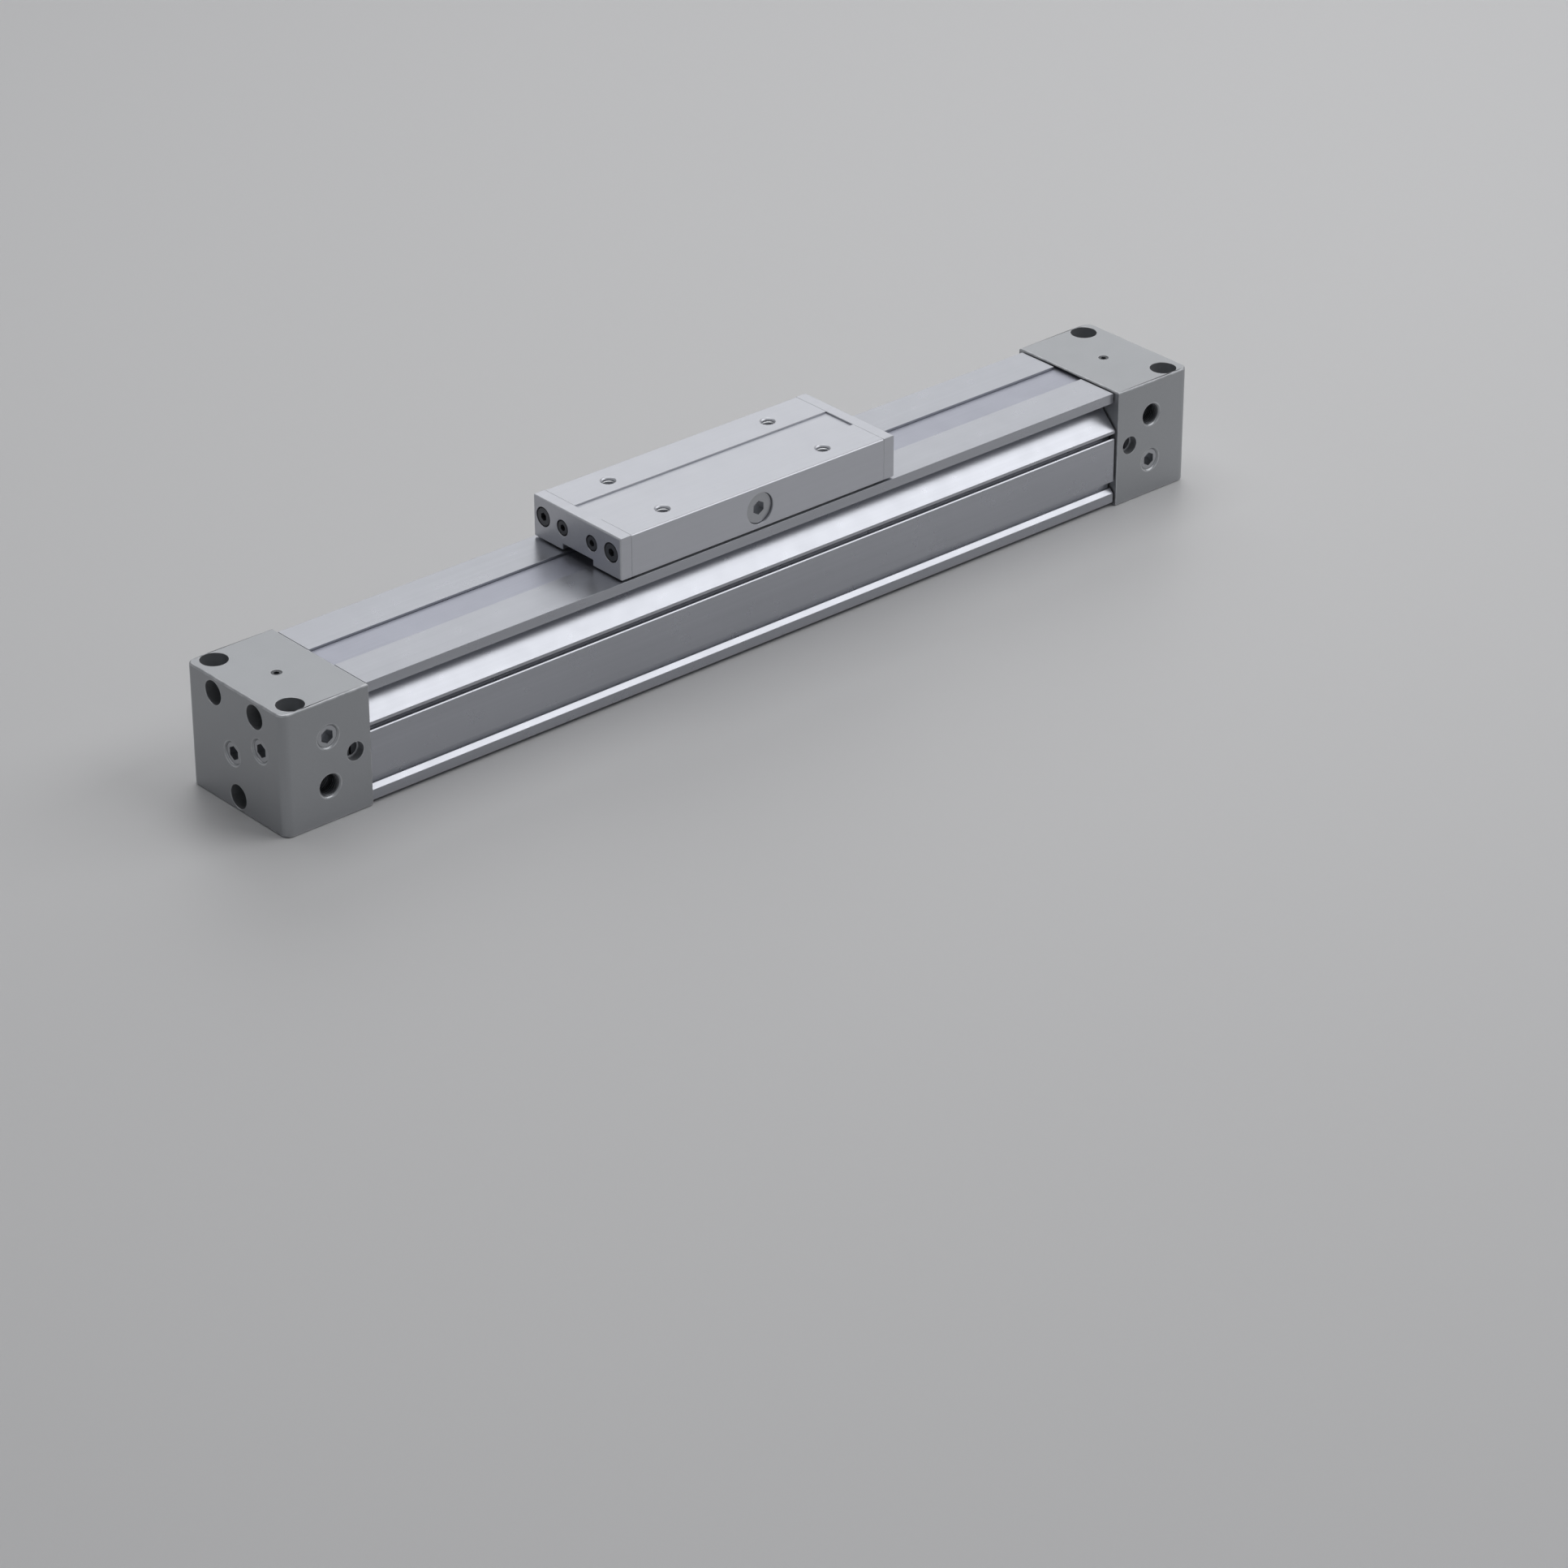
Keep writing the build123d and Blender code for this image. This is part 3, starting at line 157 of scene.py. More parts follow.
class ShaderGroups:
    """The effects that several finishes share, each built once as a shader node group.

    Sizes of patches, smears and the spots of edge wear and painted highlight are counted per metre.
    """

    patch_scale = 38.0
    smear_scale = 130.0
    spot_scale = 260.0
    spot_start = 0.30
    spot_full = 0.62

    def __init__(self) -> None:
        """Builds the three groups."""
        self.tone = self._tone()
        self.grain = self._grain()
        self.wear_and_highlight = self._wear_and_highlight()

    @staticmethod
    def place(tree: bpy.types.NodeTree, group: bpy.types.NodeTree) -> bpy.types.Node:
        """Puts a group into a material.

        Args:
            tree: The material's node tree.
            group: The group to place.

        Returns:
            The group's node.
        """
        node = tree.nodes.new("ShaderNodeGroup")
        node.node_tree = group
        return node

    @staticmethod
    def _new(
        name: str, inputs: dict[str, str], outputs: dict[str, str]
    ) -> tuple[bpy.types.NodeTree, bpy.types.Node, bpy.types.Node]:
        """Starts a shader node group.

        Args:
            name: The group's name.
            inputs: Socket kinds by input name.
            outputs: Socket kinds by output name.

        Returns:
            The group, its input node and its output node.
        """
        group = bpy.data.node_groups.new(name, "ShaderNodeTree")
        for label, kind in inputs.items():
            group.interface.new_socket(name=label, in_out="INPUT", socket_type=kind)
        for label, kind in outputs.items():
            group.interface.new_socket(name=label, in_out="OUTPUT", socket_type=kind)
        return group, group.nodes.new("NodeGroupInput"), group.nodes.new("NodeGroupOutput")

    @staticmethod
    def _noise(
        group: bpy.types.NodeTree, vector: bpy.types.NodeSocket, scale: float, detail: float
    ) -> bpy.types.Node:
        """Adds a noise texture.

        Args:
            group: The group to add it to.
            vector: The coordinates it reads.
            scale: Its scale.
            detail: Its detail.

        Returns:
            The texture's node.
        """
        noise = group.nodes.new("ShaderNodeTexNoise")
        noise.inputs["Scale"].default_value = scale
        noise.inputs["Detail"].default_value = detail
        group.links.new(vector, noise.inputs["Vector"])
        return noise

    @staticmethod
    def _centred(
        group: bpy.types.NodeTree, value: bpy.types.NodeSocket, spread: bpy.types.NodeSocket
    ) -> bpy.types.NodeSocket:
        """Turns a noise value into a swing about zero.

        Args:
            group: The group to add the nodes to.
            value: A value from 0 to 1.
            spread: How far the swing goes.

        Returns:
            The socket of the swing.
        """
        centre = group.nodes.new("ShaderNodeMath")
        centre.operation = "MULTIPLY_ADD"
        centre.inputs[1].default_value = 2.0
        centre.inputs[2].default_value = -1.0
        group.links.new(value, centre.inputs[0])
        swing = group.nodes.new("ShaderNodeMath")
        swing.operation = "MULTIPLY"
        group.links.new(centre.outputs[0], swing.inputs[0])
        group.links.new(spread, swing.inputs[1])
        return swing.outputs[0]

    @staticmethod
    def _scaled(
        group: bpy.types.NodeTree, colour: bpy.types.NodeSocket, swing: bpy.types.NodeSocket
    ) -> bpy.types.NodeSocket:
        """Makes a colour lighter or darker by a swing about zero.

        Args:
            group: The group to add the nodes to.
            colour: The colour.
            swing: The share by which it changes.

        Returns:
            The socket of the changed colour.
        """
        factor = group.nodes.new("ShaderNodeMath")
        factor.operation = "ADD"
        factor.inputs[1].default_value = 1.0
        group.links.new(swing, factor.inputs[0])
        scale = group.nodes.new("ShaderNodeVectorMath")
        scale.operation = "SCALE"
        group.links.new(colour, scale.inputs[0])
        group.links.new(factor.outputs[0], scale.inputs["Scale"])
        return scale.outputs[0]

    def _tone(self) -> bpy.types.NodeTree:
        """Builds the group for the faint patches that handling leaves.

        Returns:
            The group.
        """
        group, inner, outer = self._new(
            "Handled Tone",
            {
                "Colour": "NodeSocketColor",
                "Spread": "NodeSocketFloat",
                "Roughness": "NodeSocketFloat",
                "Roughness Spread": "NodeSocketFloat",
            },
            {"Colour": "NodeSocketColor", "Roughness": "NodeSocketFloat"},
        )
        place = group.nodes.new("ShaderNodeTexCoord")
        patches = self._noise(group, place.outputs["Object"], self.patch_scale, 2.0)
        smears = self._noise(group, place.outputs["Object"], self.smear_scale, 2.0)
        swing = self._centred(group, patches.outputs[0], inner.outputs["Spread"])
        group.links.new(self._scaled(group, inner.outputs["Colour"], swing), outer.inputs["Colour"])
        change = self._centred(group, smears.outputs[0], inner.outputs["Roughness Spread"])
        rough = group.nodes.new("ShaderNodeMath")
        rough.operation = "ADD"
        rough.use_clamp = True
        group.links.new(inner.outputs["Roughness"], rough.inputs[0])
        group.links.new(change, rough.inputs[1])
        group.links.new(rough.outputs[0], outer.inputs["Roughness"])
        return group

    def _grain(self) -> bpy.types.NodeTree:
        """Builds the group for fine grain: a casting's skin, or the lines of drawing, rolling or milling.

        Returns:
            The group.
        """
        group, inner, outer = self._new(
            "Fine Grain",
            {
                "Colour": "NodeSocketColor",
                "Stretch": "NodeSocketVector",
                "Scale": "NodeSocketFloat",
                "Streak": "NodeSocketFloat",
            },
            {"Colour": "NodeSocketColor", "Height": "NodeSocketFloat"},
        )
        place = group.nodes.new("ShaderNodeTexCoord")
        stretch = group.nodes.new("ShaderNodeVectorMath")
        stretch.operation = "MULTIPLY"
        group.links.new(place.outputs["Object"], stretch.inputs[0])
        group.links.new(inner.outputs["Stretch"], stretch.inputs[1])
        noise = self._noise(group, stretch.outputs[0], 900.0, 1.0)
        group.links.new(inner.outputs["Scale"], noise.inputs["Scale"])
        group.links.new(noise.outputs[0], outer.inputs["Height"])
        swing = self._centred(group, noise.outputs[0], inner.outputs["Streak"])
        group.links.new(self._scaled(group, inner.outputs["Colour"], swing), outer.inputs["Colour"])
        return group

    def _wear_and_highlight(self) -> bpy.types.NodeTree:
        """Builds the group for edges that rub bright and carry a painted highlight, which a piece marks in its
        own attribute.

        Returns:
            The group.
        """
        group, inner, outer = self._new(
            "Edge Wear",
            {"Colour": "NodeSocketColor", "Worn Colour": "NodeSocketColor", "Amount": "NodeSocketFloat"},
            {"Colour": "NodeSocketColor"},
        )
        place = group.nodes.new("ShaderNodeTexCoord")
        edge = group.nodes.new("ShaderNodeAttribute")
        edge.attribute_name = "rim"
        spots = self._noise(group, place.outputs["Object"], self.spot_scale, 2.0)
        patchy = group.nodes.new("ShaderNodeMapRange")
        patchy.inputs["From Min"].default_value = self.spot_start
        patchy.inputs["From Max"].default_value = self.spot_full
        group.links.new(spots.outputs[0], patchy.inputs["Value"])
        both = group.nodes.new("ShaderNodeMath")
        both.operation = "MULTIPLY"
        group.links.new(edge.outputs["Fac"], both.inputs[0])
        group.links.new(patchy.outputs[0], both.inputs[1])
        mask = group.nodes.new("ShaderNodeMath")
        mask.operation = "MULTIPLY"
        mask.use_clamp = True
        group.links.new(both.outputs[0], mask.inputs[0])
        group.links.new(inner.outputs["Amount"], mask.inputs[1])
        # Mixes the bright rim colour in: edge wear and painted highlight.
        mix = group.nodes.new("ShaderNodeMix")
        mix.data_type = "RGBA"
        group.links.new(mask.outputs[0], mix.inputs[0])
        group.links.new(inner.outputs["Colour"], mix.inputs[6])
        group.links.new(inner.outputs["Worn Colour"], mix.inputs[7])
        group.links.new(mix.outputs[2], outer.inputs["Colour"])
        return group


FINISHES = (
    Finish(
        "cover_paint",
        (0.40, 0.412, 0.43),
        0.62,
        0.36,
        grain=1500.0,
        relief=0.012 * MM,
        streak=0.03,
        tone_spread=0.02,
        rough_spread=0.04,
        # A strong amount paints the covers' rims bright: part edge wear, part painted highlight.
        wear_and_highlight=0.9,
    ),
    Finish(
        "barrel_anodised",
        (0.425, 0.435, 0.47),
        0.85,
        0.29,
        Pattern.DRAWN,
        grain=620.0,
        relief=0.0012 * MM,
        streak=0.05,
        tone_spread=0.03,
        rough_spread=0.05,
        wear_and_highlight=0.3,
    ),
    Finish(
        "table_anodised",
        (0.555, 0.565, 0.605),
        0.80,
        0.38,
        Pattern.DRAWN,
        grain=700.0,
        relief=0.0012 * MM,
        streak=0.03,
        tone_spread=0.02,
        rough_spread=0.04,
        wear_and_highlight=0.6,
    ),
    Finish("band_stainless", (0.40, 0.41, 0.47), 0.85, 0.40, Pattern.ROLLED, grain=2200.0, rough_spread=0.05),
    # Near-black screw steel. Its colour is also kept this low as painted shade for the cushion needles and
    # port threads that wear it.
    Finish("screw_steel", (0.10, 0.104, 0.113), 0.75, 0.45, grain=2600.0),
    Finish("plug_steel", (0.42, 0.43, 0.45), 0.95, 0.30, grain=2600.0, relief=0.006 * MM),
    Finish("inner_steel", (0.48, 0.49, 0.51), 0.95, 0.30, grain=2200.0, relief=0.006 * MM),
    Finish("needle_brass", (0.44, 0.33, 0.16), 0.95, 0.34, grain=2200.0, relief=0.006 * MM),
    Finish("machined_aluminium", (0.62, 0.63, 0.65), 0.90, 0.34, Pattern.MILLED, grain=1600.0),
    Finish("band_urethane", (0.55, 0.50, 0.36), 0.0, 0.42, grain=700.0, relief=0.004 * MM),
    Finish("acetal", (0.66, 0.65, 0.60), 0.0, 0.45, grain=800.0, relief=0.006 * MM),
    Finish("wear_plastic", (0.05, 0.05, 0.055), 0.0, 0.50, grain=900.0),
    Finish("seal_rubber", (0.018, 0.018, 0.019), 0.0, 0.62, grain=1100.0, relief=0.015 * MM),
    Finish("magnet_plate", (0.60, 0.60, 0.61), 1.0, 0.22, grain=1500.0, relief=0.004 * MM),
)


class Looks:
    """The materials by slot, and the slot of each CAD node."""

    def __init__(self, record: dict) -> None:
        """Builds every finish.

        Args:
            record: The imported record, which says which slot each node takes.
        """
        groups = ShaderGroups()
        self.materials = {finish.slot: finish.material(groups) for finish in FINISHES}
        self.slots = {row["node"]: row["material_slot"] for row in record["subparts"]}

    def paint(self, piece: bpy.types.Object, slot: str) -> None:
        """Gives a piece one finish.

        Args:
            piece: The piece.
            slot: The record's slot, which is the finish's name too.
        """
        piece.data.materials.clear()
        piece.data.materials.append(self.materials[slot])


def link(name: str, mesh: bpy.types.Mesh) -> bpy.types.Object:
    """Puts a mesh in the scene.

    Args:
        name: The object's name.
        mesh: Its mesh.

    Returns:
        The new object.
    """
    piece = bpy.data.objects.new(name, mesh)
    bpy.context.scene.collection.objects.link(piece)
    return piece


def evaluated_mesh(maker: bpy.types.Object) -> bpy.types.Mesh:
    """Turns an object with modifiers into a plain mesh, and removes the object.

    Args:
        maker: The object.

    Returns:
        The mesh that its modifiers made.
    """
    bpy.context.view_layer.update()
    evaluated = maker.evaluated_get(bpy.context.evaluated_depsgraph_get())
    mesh = bpy.data.meshes.new_from_object(evaluated)
    bpy.data.objects.remove(maker)
    return mesh


@dataclass
class Softener:
    """Makes a copy of a CAD node with fine rounded edges, and lets it stand for the node.

    The copy's "rim" attribute marks the rounded faces, where a finish wears and takes a painted highlight.
    """

    looks: Looks
    bodies: dict[str, str]
    merge_distance: float = 0.002 * MM
    flat_angle: float = math.radians(0.6)
    sharp_angle: float = math.radians(32)

    def soften(self, node: bpy.types.Object, width: float) -> bpy.types.Object:
        """Copies a node, rounds its edges and dresses the copy.

        Args:
            node: The CAD node.
            width: The width of the rounding.

        Returns:
            The copy, riding on the node's body.
        """
        mesh = node.data.copy()
        work = bmesh.new()
        work.from_mesh(mesh)
        bmesh.ops.remove_doubles(work, verts=work.verts, dist=self.merge_distance)
        bmesh.ops.dissolve_limit(work, angle_limit=self.flat_angle, verts=work.verts, edges=work.edges)
        many_sided = [face for face in work.faces if len(face.verts) > 4]
        bmesh.ops.triangulate(work, faces=many_sided, ngon_method="BEAUTY")
        work.to_mesh(mesh)
        work.free()
        mesh.materials.clear()
        for _ in ("plain", "rim"):
            mesh.materials.append(None)
        maker = link(node.name + "_maker", mesh)
        bevel = maker.modifiers.new("Rounding", "BEVEL")
        bevel.material = 1
        bevel.width = width
        bevel.segments = 2
        bevel.limit_method = "ANGLE"
        bevel.angle_limit = self.sharp_angle
        bevel.use_clamp_overlap = False
        bevel.loop_slide = False
        rounded = evaluated_mesh(maker)
        rim = rounded.attributes.new("rim", "FLOAT", "FACE")
        for polygon in rounded.polygons:
            polygon.use_smooth = True
            rim.data[polygon.index].value = float(polygon.material_index)
            polygon.material_index = 0
        rounded.set_sharp_from_angle(angle=CREASE_ANGLE)
        maker = link(node.name + "_maker", rounded)
        normals = maker.modifiers.new("Normals", "WEIGHTED_NORMAL")
        normals.keep_sharp = True
        piece = link(node.name + "_finished", evaluated_mesh(maker))
        self.looks.paint(piece, self.looks.slots[node.name])
        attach(piece, self.bodies[node.name])
        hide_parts(node.name)
        log.info("%s stands for %s", piece.name, node.name)
        return piece


class Tree:
    """A Geometry Nodes tree that ends in Realize Instances and Set Material."""

    merge_distance = 0.0005 * MM

    def __init__(self, name: str, inputs: dict[str, str]) -> None:
        """Starts the tree.

        Args:
            name: The tree's name.
            inputs: Socket kinds by input name, beside the geometry and the material.
        """
        self.tree = bpy.data.node_groups.new(name, "GeometryNodeTree")
        add = self.tree.interface.new_socket
        add(name="Geometry", in_out="INPUT", socket_type="NodeSocketGeometry")
        for label, kind in {**inputs, "Material": "NodeSocketMaterial"}.items():
            add(name=label, in_out="INPUT", socket_type=kind)
        add(name="Geometry", in_out="OUTPUT", socket_type="NodeSocketGeometry")
        self.inner = self.tree.nodes.new("NodeGroupInput")
        self.outer = self.tree.nodes.new("NodeGroupOutput")

    def node(self, kind: str, **sources: object) -> bpy.types.Node:
        """Adds a node.

        Args:
            kind: The node's type.
            **sources: By input name with _ for a space, a socket to link or a value to set.

        Returns:
            The node.
        """
        made = self.tree.nodes.new(kind)
        for label, source in sources.items():
            socket = made.inputs[label.replace("_", " ")]
            if isinstance(source, bpy.types.NodeSocket):
                self.tree.links.new(source, socket)
            else:
                socket.default_value = source
        return made

    def close(self, geometry: bpy.types.NodeSocket) -> None:
        """Ends the tree.

        Args:
            geometry: The geometry to put out.
        """
        real = self.node("GeometryNodeRealizeInstances", Geometry=geometry)
        painted = self.node(
            "GeometryNodeSetMaterial", Geometry=real.outputs[0], Material=self.inner.outputs["Material"]
        )
        self.tree.links.new(painted.outputs[0], self.outer.inputs[0])

    def grow(self, name: str, start: bpy.types.Mesh, values: dict[str, object]) -> bpy.types.Object:
        """Runs the tree on a mesh.

        Args:
            name: The new piece's name.
            start: The mesh that the tree starts from.
            values: Values by input name.

        Returns:
            The piece, a plain mesh with its faces outward.
        """
        maker = link(name + "_maker", start)
        modifier = maker.modifiers.new("Grow", "NODES")
        modifier.node_group = self.tree
        for item in self.tree.interface.items_tree:
            if item.in_out == "INPUT" and item.name in values:
                modifier[item.identifier] = values[item.name]
        mesh = evaluated_mesh(maker)
        work = bmesh.new()
        work.from_mesh(mesh)
        bmesh.ops.remove_doubles(work, verts=work.verts, dist=self.merge_distance)
        bmesh.ops.recalc_face_normals(work, faces=work.faces)
        work.to_mesh(mesh)
        work.free()
        for polygon in mesh.polygons:
            polygon.use_smooth = True
        mesh.set_sharp_from_angle(angle=CREASE_ANGLE)
        return link(name, mesh)


def thread_tree() -> Tree:
    """Builds the tree of a thread: a ridge that winds down a bore.

    Returns:
        The tree, with its sizes as inputs.
    """
    tree = Tree("Thread Ridge", {label: "NodeSocketFloat" for label in ("Turns", "Radius", "Depth", "Ridge")})
    given = tree.inner.outputs
    winding = tree.node(
        "GeometryNodeCurveSpiral",
        Resolution=28,
        Rotations=given["Turns"],
        Start_Radius=given["Radius"],
        End_Radius=given["Radius"],
        Height=given["Depth"],
    )
    ridge = tree.node("GeometryNodeCurvePrimitiveCircle", Resolution=4, Radius=given["Ridge"])
    swept = tree.node(
        "GeometryNodeCurveToMesh", Curve=winding.outputs[0], Profile_Curve=ridge.outputs[0], Fill_Caps=True
    )
    tree.close(swept.outputs[0])
    return tree


def band_tree() -> Tree:
    """Builds the tree of a seal band: a flat strip along a line with round bends.

    Returns:
        The tree, with its sizes as inputs.
    """
    tree = Tree("Seal Band", {label: "NodeSocketFloat" for label in ("Width", "Thickness", "Bend Radius")})
    given = tree.inner.outputs
    line = tree.node("GeometryNodeMeshToCurve", Mesh=given["Geometry"])
    bends = tree.node("GeometryNodeFilletCurve", Curve=line.outputs[0], Radius=given["Bend Radius"])
    bends.mode = "POLY"
    bends.inputs["Limit Radius"].default_value = True
    bends.inputs["Count"].default_value = 10
    upright = tree.node("GeometryNodeSetCurveNormal", Curve=bends.outputs[0])
    upright.mode = "Z_UP"
    strip = tree.node(
        "GeometryNodeCurvePrimitiveQuadrilateral", Width=given["Width"], Height=given["Thickness"]
    )
    swept = tree.node(
        "GeometryNodeCurveToMesh", Curve=upright.outputs[0], Profile_Curve=strip.outputs[0], Fill_Caps=True
    )
    tree.close(swept.outputs[0])
    return tree


@dataclass
class SealBand:
    """A band between the head covers that rises or dips where the table stands.

    Foot and top say how far from the table's middle the band leaves its lane and gets to its other height.
    Held and carried are not used.
    """

    node: str
    width: float
    thickness: float
    foot: float
    top: float
    bend_radius: float
    rises: bool
    held: float = 22 * MM
    carried: float = 66 * MM

    def build(self, looks: Looks, tree: Tree) -> None:
        """Builds the band's two halves, each running from its head cover to the table's middle.

        Args:
            looks: The finishes.
            tree: The band's tree.
        """
        low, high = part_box(self.node)
        table_low, table_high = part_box("slide_table")
        middle = (table_low.x + table_high.x) / 2
        flat = (low.z if self.rises else high.z - self.thickness) + self.thickness / 2
        crest = (high.z - self.thickness if self.rises else low.z) + self.thickness / 2
        slot = looks.slots[self.node]
        for end, side in (("near", -1), ("far", 1)):
            outer = low.x if side < 0 else high.x
            line = [
                (outer, 0, flat),
                (middle + side * self.foot, 0, flat),
                (middle + side * self.top, 0, crest),
                (middle, 0, crest),
            ]
            mesh = bpy.data.meshes.new(f"{end}_{self.node}_line")
            mesh.from_pydata(line, [(0, 1), (1, 2), (2, 3)], [])
            half = tree.grow(
                f"{end}_{self.node}",
                mesh,
                {
                    "Width": self.width,
                    "Thickness": self.thickness,
                    "Bend Radius": self.bend_radius,
                    "Material": looks.materials[slot],
                },
            )
            looks.paint(half, slot)
            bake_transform(half)
            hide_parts(self.node)
            log.info("%s bends between cover and table", half.name)


@dataclass
class Thread:
    """A cut thread in a bore: where its mouth is, which way it goes in, and its sizes."""

    name: str
    mouth: tuple[float, float, float]
    inward: tuple[float, float, float]
    radius: float
    pitch: float
    depth: float
    slot: str
    body: str
    ridge_share: float = 0.34

    def build(self, looks: Looks, tree: Tree) -> None:
        """Builds the ridge and sets it in its bore.

        Args:
            looks: The finishes.
            tree: The thread's tree.
        """
        piece = tree.grow(
            self.name,
            bpy.data.meshes.new(self.name),
            {
                "Turns": self.depth / self.pitch,
                "Radius": self.radius,
                "Depth": self.depth,
                "Ridge": self.pitch * self.ridge_share,
                "Material": looks.materials[self.slot],
            },
        )
        turn = Vector(self.inward).to_track_quat("Z", "Y").to_matrix().to_4x4()
        piece.data.transform(Matrix.Translation(self.mouth) @ turn)
        looks.paint(piece, self.slot)
        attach(piece, self.body)
        log.info("%s has %d faces", piece.name, len(piece.data.polygons))


@dataclass
class HeadCovers:
    """The two castings that close the barrel, with the threads of their open ports."""

    softener: Softener
    nodes: tuple[str, ...] = ("near_head_cover", "far_head_cover")
    rounding: float = 0.28 * MM
    port_inset: float = 20.25 * MM
    port_radius: float = 4.3 * MM
    port_pitch: float = 0.907 * MM
    port_depth: float = 11.4 * MM
    mouth_sink: float = 0.8 * MM
    near_port_height: float = 15 * MM
    far_port_height: float = 35 * MM

    def build(self, nodes: dict[str, bpy.types.Object], tree: Tree) -> None:
        """Rounds the castings and cuts the threads.

        Args:
            nodes: The CAD nodes.
            tree: The thread's tree.
        """
        for name in self.nodes:
            self.softener.soften(nodes[name], self.rounding)
        near_low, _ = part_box("near_head_cover")
        _, far_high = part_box("far_head_cover")
        places = (
            ("near_port_thread", near_low.x + self.port_inset, self.near_port_height),
            ("far_port_thread", far_high.x - self.port_inset, self.far_port_height),
        )
        for name, x, z in places:
            # The port threads take the near-black screw steel instead of the casting's finish: painted shade
            # that makes the open ports read black.
            Thread(
                name,
                (x, near_low.y + self.mouth_sink, z),
                (0, 1, 0),
                self.port_radius,
                self.port_pitch,
                self.port_depth,
                "screw_steel",
                CYLINDER,
            ).build(self.softener.looks, tree)


@dataclass
class Barrel:
    """The slotted extrusion."""

    softener: Softener
    rounding: float = 0.16 * MM

    def build(self, nodes: dict[str, bpy.types.Object]) -> None:
        """Rounds the extrusion's edges.

        Args:
            nodes: The CAD nodes.
        """
        self.softener.soften(nodes["barrel"], self.rounding)


@dataclass
class SlideTable:
    """The table, its end plates and top cover, with the threads of its four holes."""

    softener: Softener
    body_nodes: tuple[str, ...] = ("slide_table", "near_end_plate", "far_end_plate")
    rounding: float = 0.22 * MM
    cover_rounding: float = 0.10 * MM
    thread_length: float = 80 * MM
    thread_width: float = 32 * MM
    thread_radius: float = 2.5 * MM
    thread_pitch: float = 1.0 * MM
    thread_depth: float = 10.4 * MM
    mouth_sink: float = 0.9 * MM

    def build(self, nodes: dict[str, bpy.types.Object], tree: Tree) -> None:
        """Rounds the table's pieces and cuts the threads.

        Args:
            nodes: The CAD nodes.
            tree: The thread's tree.
        """
        for name in self.body_nodes:
            self.softener.soften(nodes[name], self.rounding)
        lane_cover = self.softener.soften(nodes["table_top_cover"], self.cover_rounding)
        self.softener.looks.paint(lane_cover, "table_anodised")
        low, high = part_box("slide_table")
        middle = (low.x + high.x) / 2
        for end, along in (("near", -0.5), ("far", 0.5)):
            for face, across in (("front", -0.5), ("back", 0.5)):
                mouth = (
                    middle + along * self.thread_length,
                    across * self.thread_width,
                    high.z - self.mouth_sink,
                )
                Thread(
                    f"{end}_{face}_table_thread",
                    mouth,
                    (0, 0, -1),
                    self.thread_radius,
                    self.thread_pitch,
                    self.thread_depth,
                    "machined_aluminium",
                    TABLE,
                ).build(self.softener.looks, tree)


@dataclass
class OtherNodes:
    """The CAD nodes that show as they are, and the nodes that are hidden, inside or behind a finished copy.

    The cushion needles take the near-black steel of the screws as painted shade, so that their recesses read
    black.
    """

    looks: Looks
    painted_shade_needles: tuple[str, ...] = ("near_cushion_needle", "far_cushion_needle")

    def build(self, nodes: dict[str, bpy.types.Object]) -> None:
        """Gives each shown node its finish.

        Args:
            nodes: The CAD nodes.
        """
        for name, node in sorted(nodes.items()):
            # Needles in the near-black screw steel are painted shade for their recesses.
            slot = "screw_steel" if name in self.painted_shade_needles else self.looks.slots[name]
            self.looks.paint(node, slot)
            if not node.hide_render:
                log.info("%s is shown as it is", name)


@dataclass
class Lamp:
    """A soft lamp that looks at the table, with its width laid along the barrel."""

    name: str
    place: tuple[float, float, float]
    width: float
    height: float
    power: float
    target: tuple[float, float, float] = (0.0, 0.0, 0.03)

    def build(self) -> None:
        """Hangs the lamp."""
        data = bpy.data.lights.new(self.name, "AREA")
        data.shape = "RECTANGLE"
        data.size = self.width
        data.size_y = self.height
        data.energy = self.power
        lamp = bpy.data.objects.new(self.name, data)
        bpy.context.scene.collection.objects.link(lamp)
        back = (Vector(self.place) - Vector(self.target)).normalized()
        right = (Vector((1, 0, 0)) - back * back.x).normalized()
        turn = Matrix((right, back.cross(right), back)).transposed().to_4x4()
        lamp.matrix_world = Matrix.Translation(self.place) @ turn


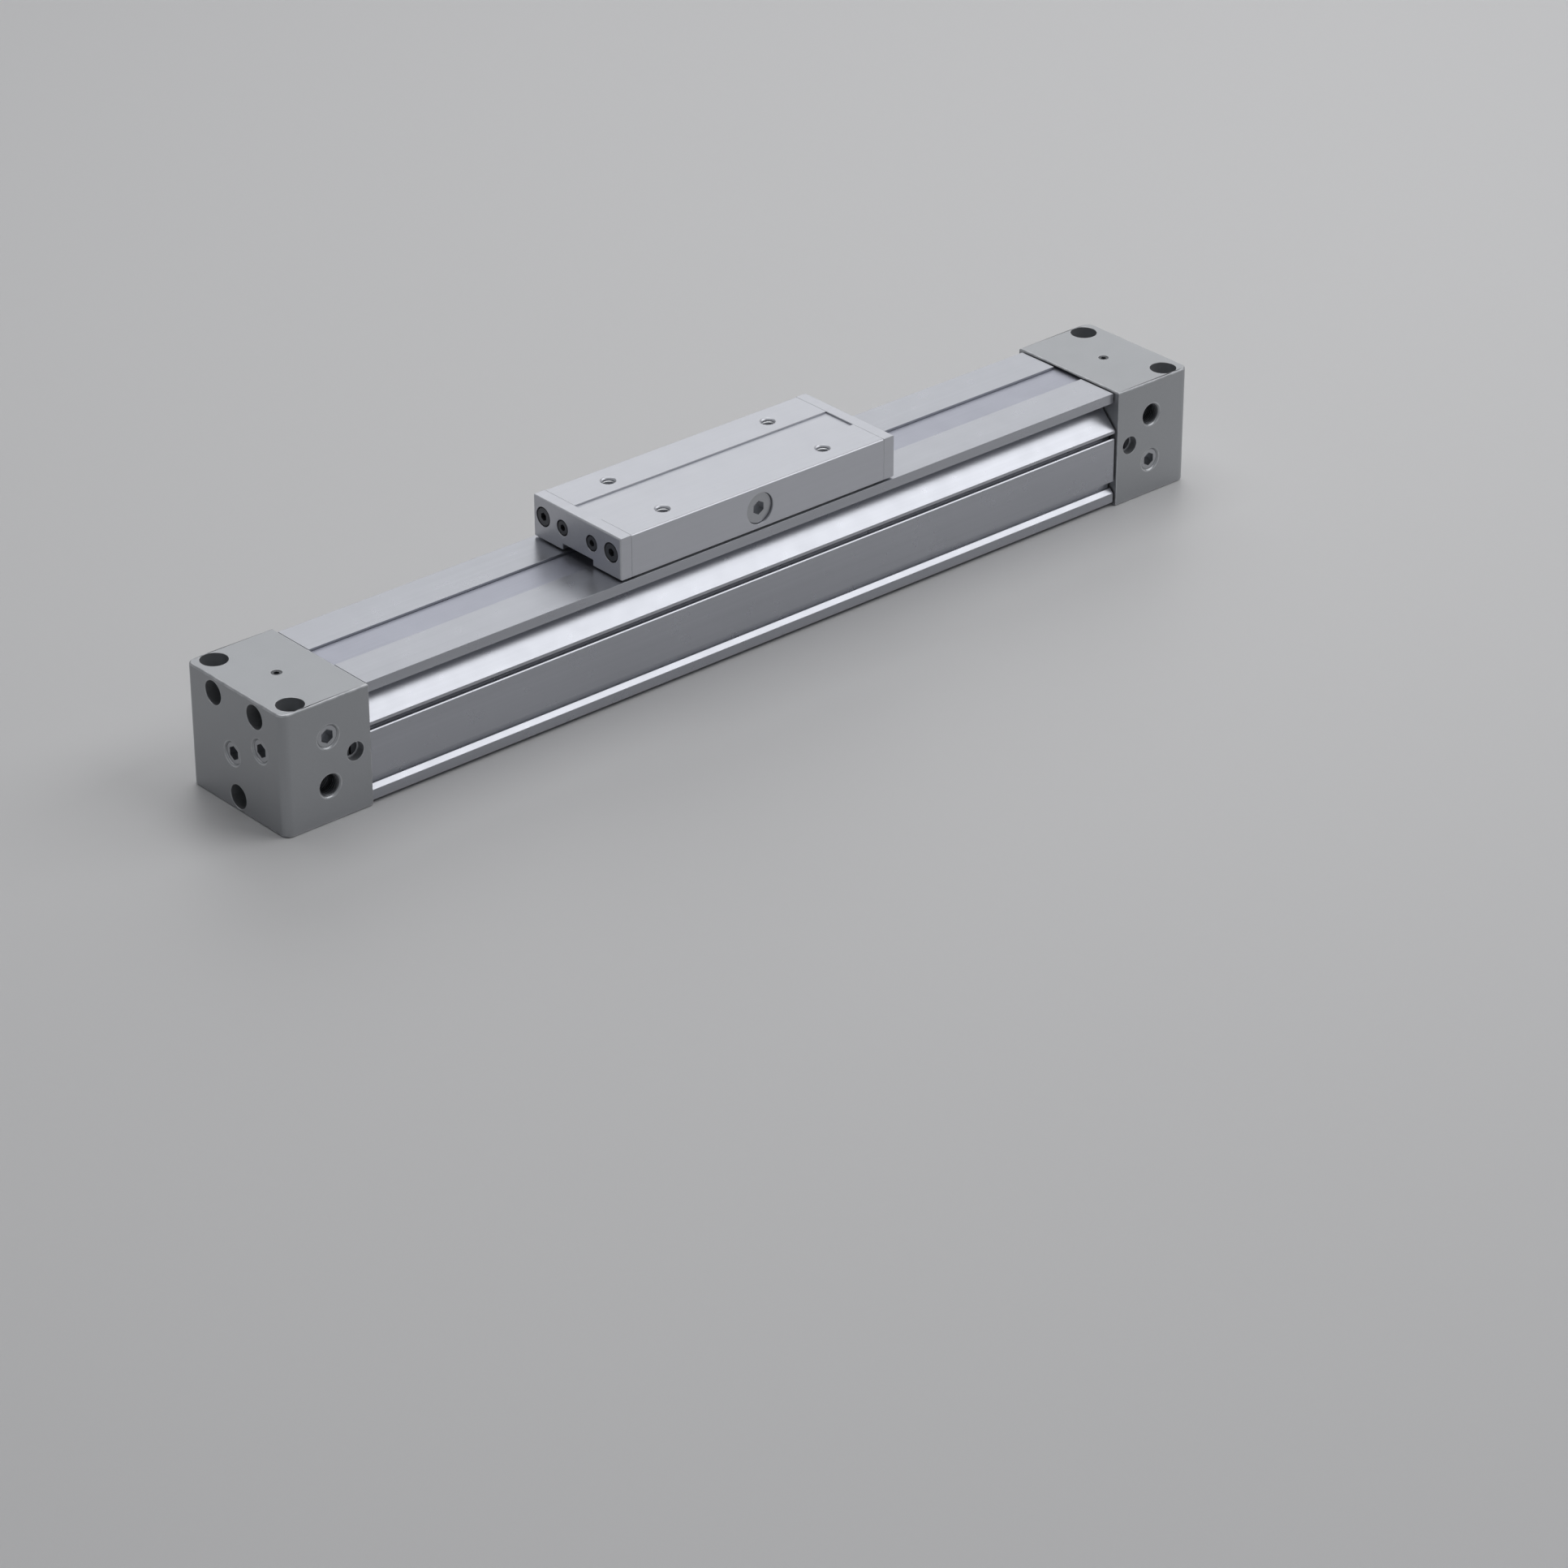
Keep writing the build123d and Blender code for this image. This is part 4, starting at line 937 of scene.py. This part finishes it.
@dataclass
class Studio:
    """A pale floor, soft lamps and the camera."""

    floor_colour: tuple[float, float, float] = (0.80, 0.80, 0.81)
    floor_roughness: float = 0.45
    floor_half: float = 9.0
    sky_colour: tuple[float, float, float] = (0.95, 0.97, 1.0)
    sky: float = 0.08
    seen_sky: float = 0.40
    lamps: tuple[Lamp, ...] = (
        Lamp("overhead", (0.15, 0.35, 1.9), 1.7, 1.7, 12.4),
        Lamp("shoulder_light", (1.20, -0.97, 1.46), 1.9, 0.9, 11.0),
        Lamp("back_light", (1.15, 1.35, 0.95), 1.9, 1.0, 5.0),
    )
    eye: tuple[float, float, float] = (-1.20201, -1.41928, 0.95729)
    yaw: float = math.radians(-131.0838)
    pitch: float = math.radians(28.9529)
    roll: float = math.radians(-0.0793)
    lens: float = 124.178
    sensor: float = 36.0
    nearest: float = 0.05
    farthest: float = 60.0

    def build(self) -> None:
        """Builds the stage."""
        self._floor()
        self._sky()
        for lamp in self.lamps:
            lamp.build()
        self._camera()
        bpy.context.scene.view_settings.view_transform = "Standard"

    def _floor(self) -> None:
        """Lays the floor."""
        h = self.floor_half
        mesh = bpy.data.meshes.new("floor")
        mesh.from_pydata([(-h, -h, 0), (h, -h, 0), (h, h, 0), (-h, h, 0)], [], [(0, 1, 2, 3)])
        floor = link("floor", mesh)
        material = bpy.data.materials.new("floor")
        material.use_nodes = True
        shader = next(n for n in material.node_tree.nodes if n.type == "BSDF_PRINCIPLED")
        shader.inputs["Base Color"].default_value = (*self.floor_colour, 1.0)
        shader.inputs["Roughness"].default_value = self.floor_roughness
        mesh.materials.append(material)

    def _sky(self) -> None:
        """Sets the even light from all round, and the paler backdrop that the camera and shiny faces see."""
        world = bpy.data.worlds.new("studio")
        world.use_nodes = True
        tree = world.node_tree
        back = tree.nodes["Background"]
        back.inputs["Color"].default_value = (*self.sky_colour, 1.0)
        ray = tree.nodes.new("ShaderNodeLightPath")
        shiny = tree.nodes.new("ShaderNodeMath")
        shiny.operation = "MAXIMUM"
        tree.links.new(ray.outputs["Is Glossy Ray"], shiny.inputs[0])
        tree.links.new(ray.outputs["Is Transmission Ray"], shiny.inputs[1])
        seen = tree.nodes.new("ShaderNodeMath")
        seen.operation = "MAXIMUM"
        tree.links.new(ray.outputs["Is Camera Ray"], seen.inputs[0])
        tree.links.new(shiny.outputs[0], seen.inputs[1])
        strength = tree.nodes.new("ShaderNodeMapRange")
        strength.inputs["To Min"].default_value = self.sky
        strength.inputs["To Max"].default_value = self.seen_sky
        tree.links.new(seen.outputs[0], strength.inputs["Value"])
        tree.links.new(strength.outputs[0], back.inputs["Strength"])
        bpy.context.scene.world = world

    def _camera(self) -> None:
        """Places the camera as the photograph's stood."""
        back = Vector(
            (
                math.cos(self.pitch) * math.cos(self.yaw),
                math.cos(self.pitch) * math.sin(self.yaw),
                math.sin(self.pitch),
            )
        )
        right = (-back).cross(Vector((0, 0, 1))).normalized()
        up = right.cross(-back)
        turned_right = math.cos(self.roll) * right + math.sin(self.roll) * up
        turned_up = math.cos(self.roll) * up - math.sin(self.roll) * right
        data = bpy.data.cameras.new("camera")
        data.lens = self.lens
        data.sensor_width = self.sensor
        data.clip_start = self.nearest
        data.clip_end = self.farthest
        camera = bpy.data.objects.new("camera", data)
        bpy.context.scene.collection.objects.link(camera)
        turn = Matrix((turned_right, turned_up, back)).transposed().to_4x4()
        camera.matrix_world = Matrix.Translation(self.eye) @ turn
        bpy.context.scene.camera = camera


@dataclass
class SlideUnit:
    """The whole unit, built in order from its sub-assemblies."""

    frame: dict
    looks: Looks = field(init=False)
    softener: Softener = field(init=False)

    def __post_init__(self) -> None:
        """Prepares the finishes and the rounding."""
        self.looks = Looks(self.frame["record"])
        bodies = {
            node: body
            for body, members in self.frame["record"]["behaviour"]["bodies"].items()
            for node in members
        }
        self.softener = Softener(self.looks, bodies)

    def build(self) -> None:
        """Builds every sub-assembly."""
        nodes = self.frame["nodes"]
        threads = thread_tree()
        bands = band_tree()
        Barrel(self.softener).build(nodes)
        HeadCovers(self.softener).build(nodes, threads)
        SlideTable(self.softener).build(nodes, threads)
        SealBand(
            "outer_seal_band",
            width=15 * MM,
            thickness=0.3 * MM,
            foot=45 * MM,
            top=25 * MM,
            bend_radius=30 * MM,
            rises=True,
        ).build(self.looks, bands)
        SealBand(
            "inner_seal_band",
            width=10 * MM,
            thickness=1.0 * MM,
            foot=48 * MM,
            top=36 * MM,
            bend_radius=24 * MM,
            rises=False,
        ).build(self.looks, bands)
        OtherNodes(self.looks).build(nodes)


def main() -> None:
    logging.basicConfig(level=logging.INFO, format="%(message)s")
    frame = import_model()
    SlideUnit(frame).build()
    Studio().build()


if __name__ == "__main__":
    main()
